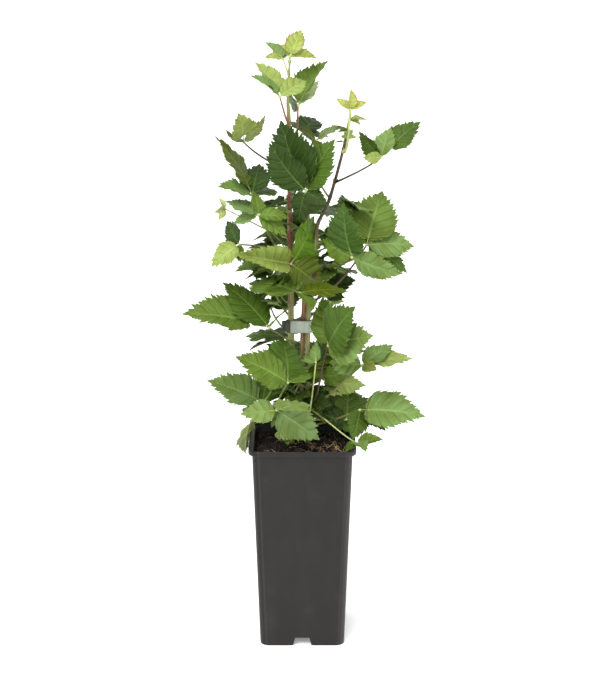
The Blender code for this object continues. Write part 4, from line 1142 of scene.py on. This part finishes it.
def potMaterial():
    # Charcoal plastic with mould grain, faint upright smudges and scuffs. The corners' shading, pale at
    # the right and dark at the left beside a pale line, is painted on and doesn't follow the lights.
    look = potFinish
    material, tree = newMaterial("charcoalPlastic", 0.50)
    smudge = rangeNode(tree, noiseNode(tree, 70, 4.0, (1, 1, 0.4)), 0.35, 0.75)
    scuff = rangeNode(tree, noiseNode(tree, 38, 5.0), 0.56, 0.80)
    base = linear(*look["base"])
    shade = mixNode(tree, smudge, scaled(base, 1 - look["patches"]), scaled(base, 1 + look["patches"]))
    shade = laidOver(tree, shade, scuff, look["scuffShare"], linear(*look["scuff"]))
    x, y, z = xyzNode(tree, objectPlace(tree))
    near = mathNode(tree, "MINIMUM", mathNode(tree, "ABSOLUTE", x), mathNode(tree, "ABSOLUTE", y))
    panel = mathNode(tree, "MULTIPLY_ADD", z, potLean, potLook["footHalf"] - look["cornerStarts"])
    past = mathNode(tree, "SUBTRACT", near, panel)
    corner = rangeNode(tree, past, 0.0, 2.5 * mm)
    right = rangeNode(tree, x, -mm, mm)
    left = mathNode(tree, "SUBTRACT", 1.0, right)
    for side, colour in ((right, look["paleCorner"]), (left, look["darkCorner"])):
        mask = mathNode(tree, "MULTIPLY", corner, side)
        shade = laidOver(tree, shade, mask, look["cornerShare"], linear(*colour))
    # A pale line along each corner, a painted highlight.
    offLine = mathNode(tree, "ABSOLUTE", mathNode(tree, "ADD", past, 0.5 * mm))
    line = rangeNode(tree, offLine, 0.4 * mm, 1.2 * mm, to=(0.6, 0.0))
    shade = mixNode(tree, line, shade, linear(*look["line"]))
    return finished(material, shade, noiseNode(tree, 2200, 2.0), (0.25, 0.0001), look["specular"])


pot = Batch()
pot.addGrid(potShell())
pot.addGrid(potUnderside())
pot.addGrid(turnedForm(0, 0, potLook["centreFoot"]), turned=False)
for angle in np.arange(4) * math.pi / 2:
    place = potLook["drainRing"] * math.cos(angle), potLook["drainRing"] * math.sin(angle)
    pot.addGrid(turnedForm(*place, potLook["drainRim"]), turned=False)
    pot.addGrid(turnedForm(*place, potLook["drainFloor"]), slot=1, turned=False)
pot.build("potShell", [potMaterial(), plainMaterial("drainShade", (22, 18, 14), 0.9)], ["pot"], "pot_plastic")
print("pot done")


# Compost
soilLook = {
    "half": 52.2 * mm,
    "corner": 9 * mm,
    "level": 213 * mm,
    "crown": 217.5 * mm,
    "shoulder": 18 * mm,
    "surfaceSteps": 150,
    "waves": (14, 2.2 * mm, 22 * mm, 3),
    "crumbs": 2600,
    "crumb": (0.5 * mm, 2.1 * mm),
    "crumbShares": (0.60, 0.30, 0.10),
    "fibres": 190,
    "fibreLength": (6 * mm, 22 * mm),
    "fibreRadii": (0.32, 0.12),
    "tangle": ((8, 46), (-48, -6)),
    "fibreSpread": 46,
}


def waves(x, y, count, shortest, longest, seed):
    # Sum of randomly turned sines, weaker as they get shorter.
    dice = np.random.default_rng(seed)
    total = np.zeros_like(x)
    for wavelength in np.geomspace(longest, shortest, count):
        turned, shift = dice.uniform(0, 2 * math.pi, 2)
        across = (x * math.cos(turned) + y * math.sin(turned)) * 2 * math.pi / wavelength
        total += wavelength / longest * np.sin(across + shift)
    return total


def soilHeight(x, y):
    # A flat mound with rounded shoulders and an uneven, crumbly surface.
    look = soilLook
    edge = np.maximum(abs(x), abs(y))
    rise = np.clip((look["half"] - edge) / look["shoulder"], 0, 1)
    rise = rise * rise * (3 - 2 * rise)
    mound = look["level"] + (look["crown"] - look["level"]) * rise
    return mound + 0.9 * mm * waves(x, y, *look["waves"]) - 1.3 * mm


def soilSurface():
    # A square grid with its corners drawn in to the arc, at the mound's height.
    line = np.linspace(-1, 1, soilLook["surfaceSteps"]) * soilLook["half"]
    x, y = np.meshgrid(line, line, indexing="ij")
    x, y = roundedCorners(x, y, soilLook["half"], soilLook["corner"])
    return np.stack([x, y, soilHeight(x, y)], axis=-1)


def scatterCrumbs(count, seed):
    # Rough double cones of random size: two rings of six and two poles, all from one array.
    dice = np.random.default_rng(seed)
    place = dice.uniform(-1, 1, (count, 2)) * (soilLook["half"] - 2 * mm)
    least, most = soilLook["crumb"]
    size = dice.uniform(0, 1, count) ** 2.2 * (most - least) + least
    ring = np.arange(6)
    a = ring * math.pi / 3
    level = np.ones(6)
    ways = np.vstack([(0, 0, -0.9), np.column_stack([np.cos(a), np.sin(a), -0.45 * level]),
                      np.column_stack([np.cos(a + 0.5), np.sin(a + 0.5), 0.45 * level]), (0, 0, 0.9)])
    heights = soilHeight(place[:, 0], place[:, 1]) + size * 0.25
    centre = np.column_stack([place, np.minimum(heights, soilLook["crown"] + 1.5 * mm)])
    uneven = dice.uniform(0.65, 1.25, (count, len(ways), 1))
    points = centre[:, None] + ways[None] * uneven * size[:, None, None]
    after = (ring + 1) % 6
    low, high, lowNext, highNext, pole = 1 + ring, 7 + ring, 1 + after, 7 + after, 0 * ring
    one = np.vstack([np.column_stack(corners) for corners in (
        (pole, lowNext, low), (low, lowNext, highNext), (low, highNext, high), (high, highNext, pole + 13))])
    faces = (one[None] + (np.arange(count) * len(ways))[:, None, None]).reshape(-1, 3)
    slots = np.repeat(dice.choice(3, count, p=soilLook["crumbShares"]), len(one))
    return points, faces, None, slots


def addFibres(batch, seed):
    # Tan and brown fibres lie on the compost in slow bends. About half of them, thicker and more
    # arched, tangle at the front right.
    look = soilLook
    dice = np.random.default_rng(seed)
    limit = look["half"] - 3 * mm
    for _ in range(look["fibres"]):
        thick = dice.random() < 0.5
        if thick:
            x, y = dice.uniform(*look["tangle"][0]) * mm, dice.uniform(*look["tangle"][1]) * mm
        else:
            x, y = dice.uniform(-look["fibreSpread"], look["fibreSpread"], 2) * mm
        turned, bend = dice.uniform(0, 2 * math.pi), dice.normal(0, 0.8)
        length = dice.uniform(*look["fibreLength"])
        t = np.linspace(0, 1, 8)
        way = turned + bend * t
        xs = np.clip(x + np.cumsum(np.cos(way)) * length / len(t), -limit, limit)
        ys = np.clip(y + np.cumsum(np.sin(way)) * length / len(t), -limit, limit)
        arch = np.sin(t * math.pi) * dice.uniform(0, 4.5 if thick else 2.0) * mm
        zs = soilHeight(xs, ys) + 0.3 * mm + arch
        radii = np.linspace(*look["fibreRadii"], len(t)) * mm * dice.uniform(0.7, 2.1 if thick else 1.3)
        closedTube(batch, np.column_stack([xs, ys, zs]), radii, 5, int(dice.choice((3, 4))))


def soilMaterial(name, dark, light):
    # Clods of the light colour on the dark one, with damp dark patches.
    material, tree = newMaterial(name, 0.95)
    clod = rangeNode(tree, noiseNode(tree, 420, 5.0), 0.38, 0.68)
    damp = rangeNode(tree, noiseNode(tree, 45, 2.0), 0.4, 0.65)
    shade = mixNode(tree, clod, linear(*dark), linear(*light))
    shade = laidOver(tree, shade, damp, 0.5, linear(*dark))
    return finished(material, shade, noiseNode(tree, 800, 4.0), (0.8, 0.0006))


soil = Batch()
soil.addGrid(soilSurface(), turned=False)
soil.add(*scatterCrumbs(soilLook["crumbs"], 5))
addFibres(soil, 8)
soil.build("compostTop", [
    soilMaterial("compostDark", (13, 8, 6), (28, 18, 13)),
    soilMaterial("compostBrown", (24, 15, 11), (50, 34, 24)),
    soilMaterial("compostLight", (46, 34, 22), (84, 66, 44)),
    plainMaterial("fibreTan", (170, 142, 106), 0.8, 500, 0.3),
    plainMaterial("fibreBrown", (122, 92, 64), 0.8, 500, 0.3)], ["soil"], "compost")
print("compost done")


# Tie
tieLook = {
    "low": 342.5 * mm,
    "height": 13 * mm,
    "thickness": 1.2 * mm,
    "offCane": 0.8 * mm,
    "pucker": 0.25 * mm,
    "tail": 6 * mm,
    "steps": 120,
    "paintedShadeFrom": -10.8 * mm,
    # The lit copy of the tape and the shaded one, whose dark colour is painted shade.
    "light": (158, 166, 154),
    "shaded": (50, 54, 40),
}
tieMiddle = tieLook["low"] + tieLook["height"] / 2
tied = [caneAt(name, tieMiddle) for name in caneWays]


def tieBand():
    # A band of rounded section carried round the hull of the canes: each way out from them, it lies
    # round the cane that reaches furthest.
    a = np.linspace(0, 2 * math.pi, tieLook["steps"], endpoint=False)
    ways = np.column_stack([np.cos(a), np.sin(a)])
    pick = np.array([ways @ place[:2] + radius for place, radius in tied]).argmax(axis=0)
    centres = np.array([place[:2] for place, _ in tied])[pick]
    radii = np.array([radius for _, radius in tied])[pick] + tieLook["offCane"]
    half, thick = tieLook["height"] / 2, tieLook["thickness"]
    section = np.array((
        (0.0, -half + 0.3 * mm), (0.3 * mm, -half), (thick - 0.3 * mm, -half), (thick, -half + 0.4 * mm),
        (thick + 0.1 * mm, 0), (thick, half - 0.4 * mm), (thick - 0.3 * mm, half), (0.3 * mm, half),
        (0.0, half - 0.3 * mm), (0.0, -half + 0.3 * mm)))
    pucker = tieLook["pucker"] * np.sin(9 * a) * np.sin(2 * a + 1)
    out = radii[:, None] + section[None, :, 0] + pucker[:, None]
    heights = np.broadcast_to(tieMiddle + section[None, :, 1:], (len(a), len(section), 1))
    points = np.concatenate([centres[:, None] + ways[:, None] * out[..., None], heights], axis=-1)
    return np.concatenate([points, points[:1]])


def tieTail():
    # The pinched end: a flat loop of tape drawn out to the left of the left cane, thinner towards its
    # end, with a boxy section that comes from powers of sine and cosine.
    left, radius = tied[0]
    u = np.linspace(0, 1, 14)
    face = np.linspace(0, 2 * math.pi, 25)
    thick = np.interp(u, (0, 0.15, 0.85, 1), (1.5, 1.1, 0.9, 0.05)) * mm
    tall = np.interp(u, (0, 0.9, 1), (6.0, 5.7, 5.2)) * mm
    across = np.sign(np.sin(face)) * abs(np.sin(face)) ** 0.5
    upright = np.sign(np.cos(face)) * abs(np.cos(face)) ** 0.35
    return np.stack(np.broadcast_arrays(
        (left[0] - radius - 0.6 * mm - tieLook["tail"] * u)[:, None],
        left[1] - 0.6 * mm + thick[:, None] * across[None] + 0.5 * mm * np.sin(3 * u)[:, None],
        tieMiddle + tall[:, None] * upright[None]), axis=-1)


tie = Batch()
band = tieBand()
faces = gridFaces(*band.shape[:2])[:, ::-1]
# Band faces at the left take the shaded copy as painted shade, the rest the lit copy; the tail is shaded too.
shaded = band.reshape(-1, 3)[faces].mean(axis=1)[:, 0] < tieLook["paintedShadeFrom"]
tie.add(band, faces, None, shaded.astype(int))
tie.addGrid(tieTail(), slot=1, turned=False)
tie.build("tapeTie", [plainMaterial("tapeLit", tieLook["light"], 0.5, 260, 0.12, (1, 1, 0.3)),
                      plainMaterial("tapeShaded", tieLook["shaded"], 0.6, 260, 0.2, (1, 1, 0.3))],
          ["tie"], "tie_tape")
print("tie done")


# Stage, light and camera
stageLook = {
    "floorHalf": 40.0,
    "white": (0.96, 0.96, 0.96, 1.0),
    "glow": 0.24,
    "fillPlace": (2.2, -2.0, 1.3),
    "fillTarget": (0, 0, 0.35),
    "fillSize": 1.8,
    "fillPower": 12,
    "keyPower": 2.6,
    "keySpread": 35,
    "keyTilt": (42, 0, -28),
}
view = {
    "away": 1.60,
    "height": 0.7298,
    "right": -0.0025,
    "pitch": 13.97,
    "focal": 1538.0,
    "frameHeight": 683,
    "sensor": 36.0,
}


def addFloor():
    # A flat sheet that reaches the horizon, and glows a little, as a light table does.
    u = np.linspace(-1, 1, 5) * stageLook["floorHalf"]
    x, y = np.meshgrid(u, u, indexing="ij")
    points = np.stack([x, y, np.zeros_like(x)], axis=-1).reshape(-1, 3)
    mesh = bpy.data.meshes.new("floor")
    mesh.from_pydata(points.tolist(), [], gridFaces(5, 5)[:, ::-1].tolist())
    floor = linked("floor", mesh)
    material, _ = newMaterial("paleFloor", 0.9)
    inputs = principled(material)
    inputs["Base Color"].default_value = stageLook["white"]
    inputs["Emission Color"].default_value = (1, 1, 1, 1)
    inputs["Emission Strength"].default_value = stageLook["glow"]
    mesh.materials.append(material)


def addFillLight():
    # A round lamp at the right, turned to the middle of the plant.
    data = bpy.data.lights.new("fillLight", "AREA")
    data.shape = "DISK"
    data.size = stageLook["fillSize"]
    data.energy = stageLook["fillPower"]
    lamp = linked("fillLight", data)
    lamp.location = stageLook["fillPlace"]
    way = np.array(stageLook["fillTarget"]) - np.array(stageLook["fillPlace"])
    lean = math.atan2(math.hypot(way[0], way[1]), -way[2])
    lamp.rotation_euler = (lean, 0, math.atan2(way[1], way[0]) - math.pi / 2)


def addKeyLight():
    # A soft, wide sun from the upper left, in front.
    data = bpy.data.lights.new("keyLight", "SUN")
    data.energy = stageLook["keyPower"]
    data.angle = math.radians(stageLook["keySpread"])
    lamp = linked("keyLight", data)
    lamp.rotation_euler = [math.radians(angle) for angle in stageLook["keyTilt"]]


addFloor()
addFillLight()
addKeyLight()
world = bpy.data.worlds.new("paleRoom")
bpy.context.scene.world = world
world.use_nodes = True
world.node_tree.nodes["Background"].inputs["Color"].default_value = (1, 1, 1, 1)
world.node_tree.nodes["Background"].inputs["Strength"].default_value = 1.0

lens = bpy.data.cameras.new("viewCamera")
lens.sensor_width = view["sensor"]
lens.lens = view["focal"] / view["frameHeight"] * view["sensor"]
camera = linked("viewCamera", lens)
camera.location = (view["right"], -view["away"], view["height"])
camera.rotation_euler = (math.radians(90 - view["pitch"]), 0, 0)
bpy.context.scene.camera = camera
bpy.context.scene.view_settings.view_transform = "Standard"
print("stage done")
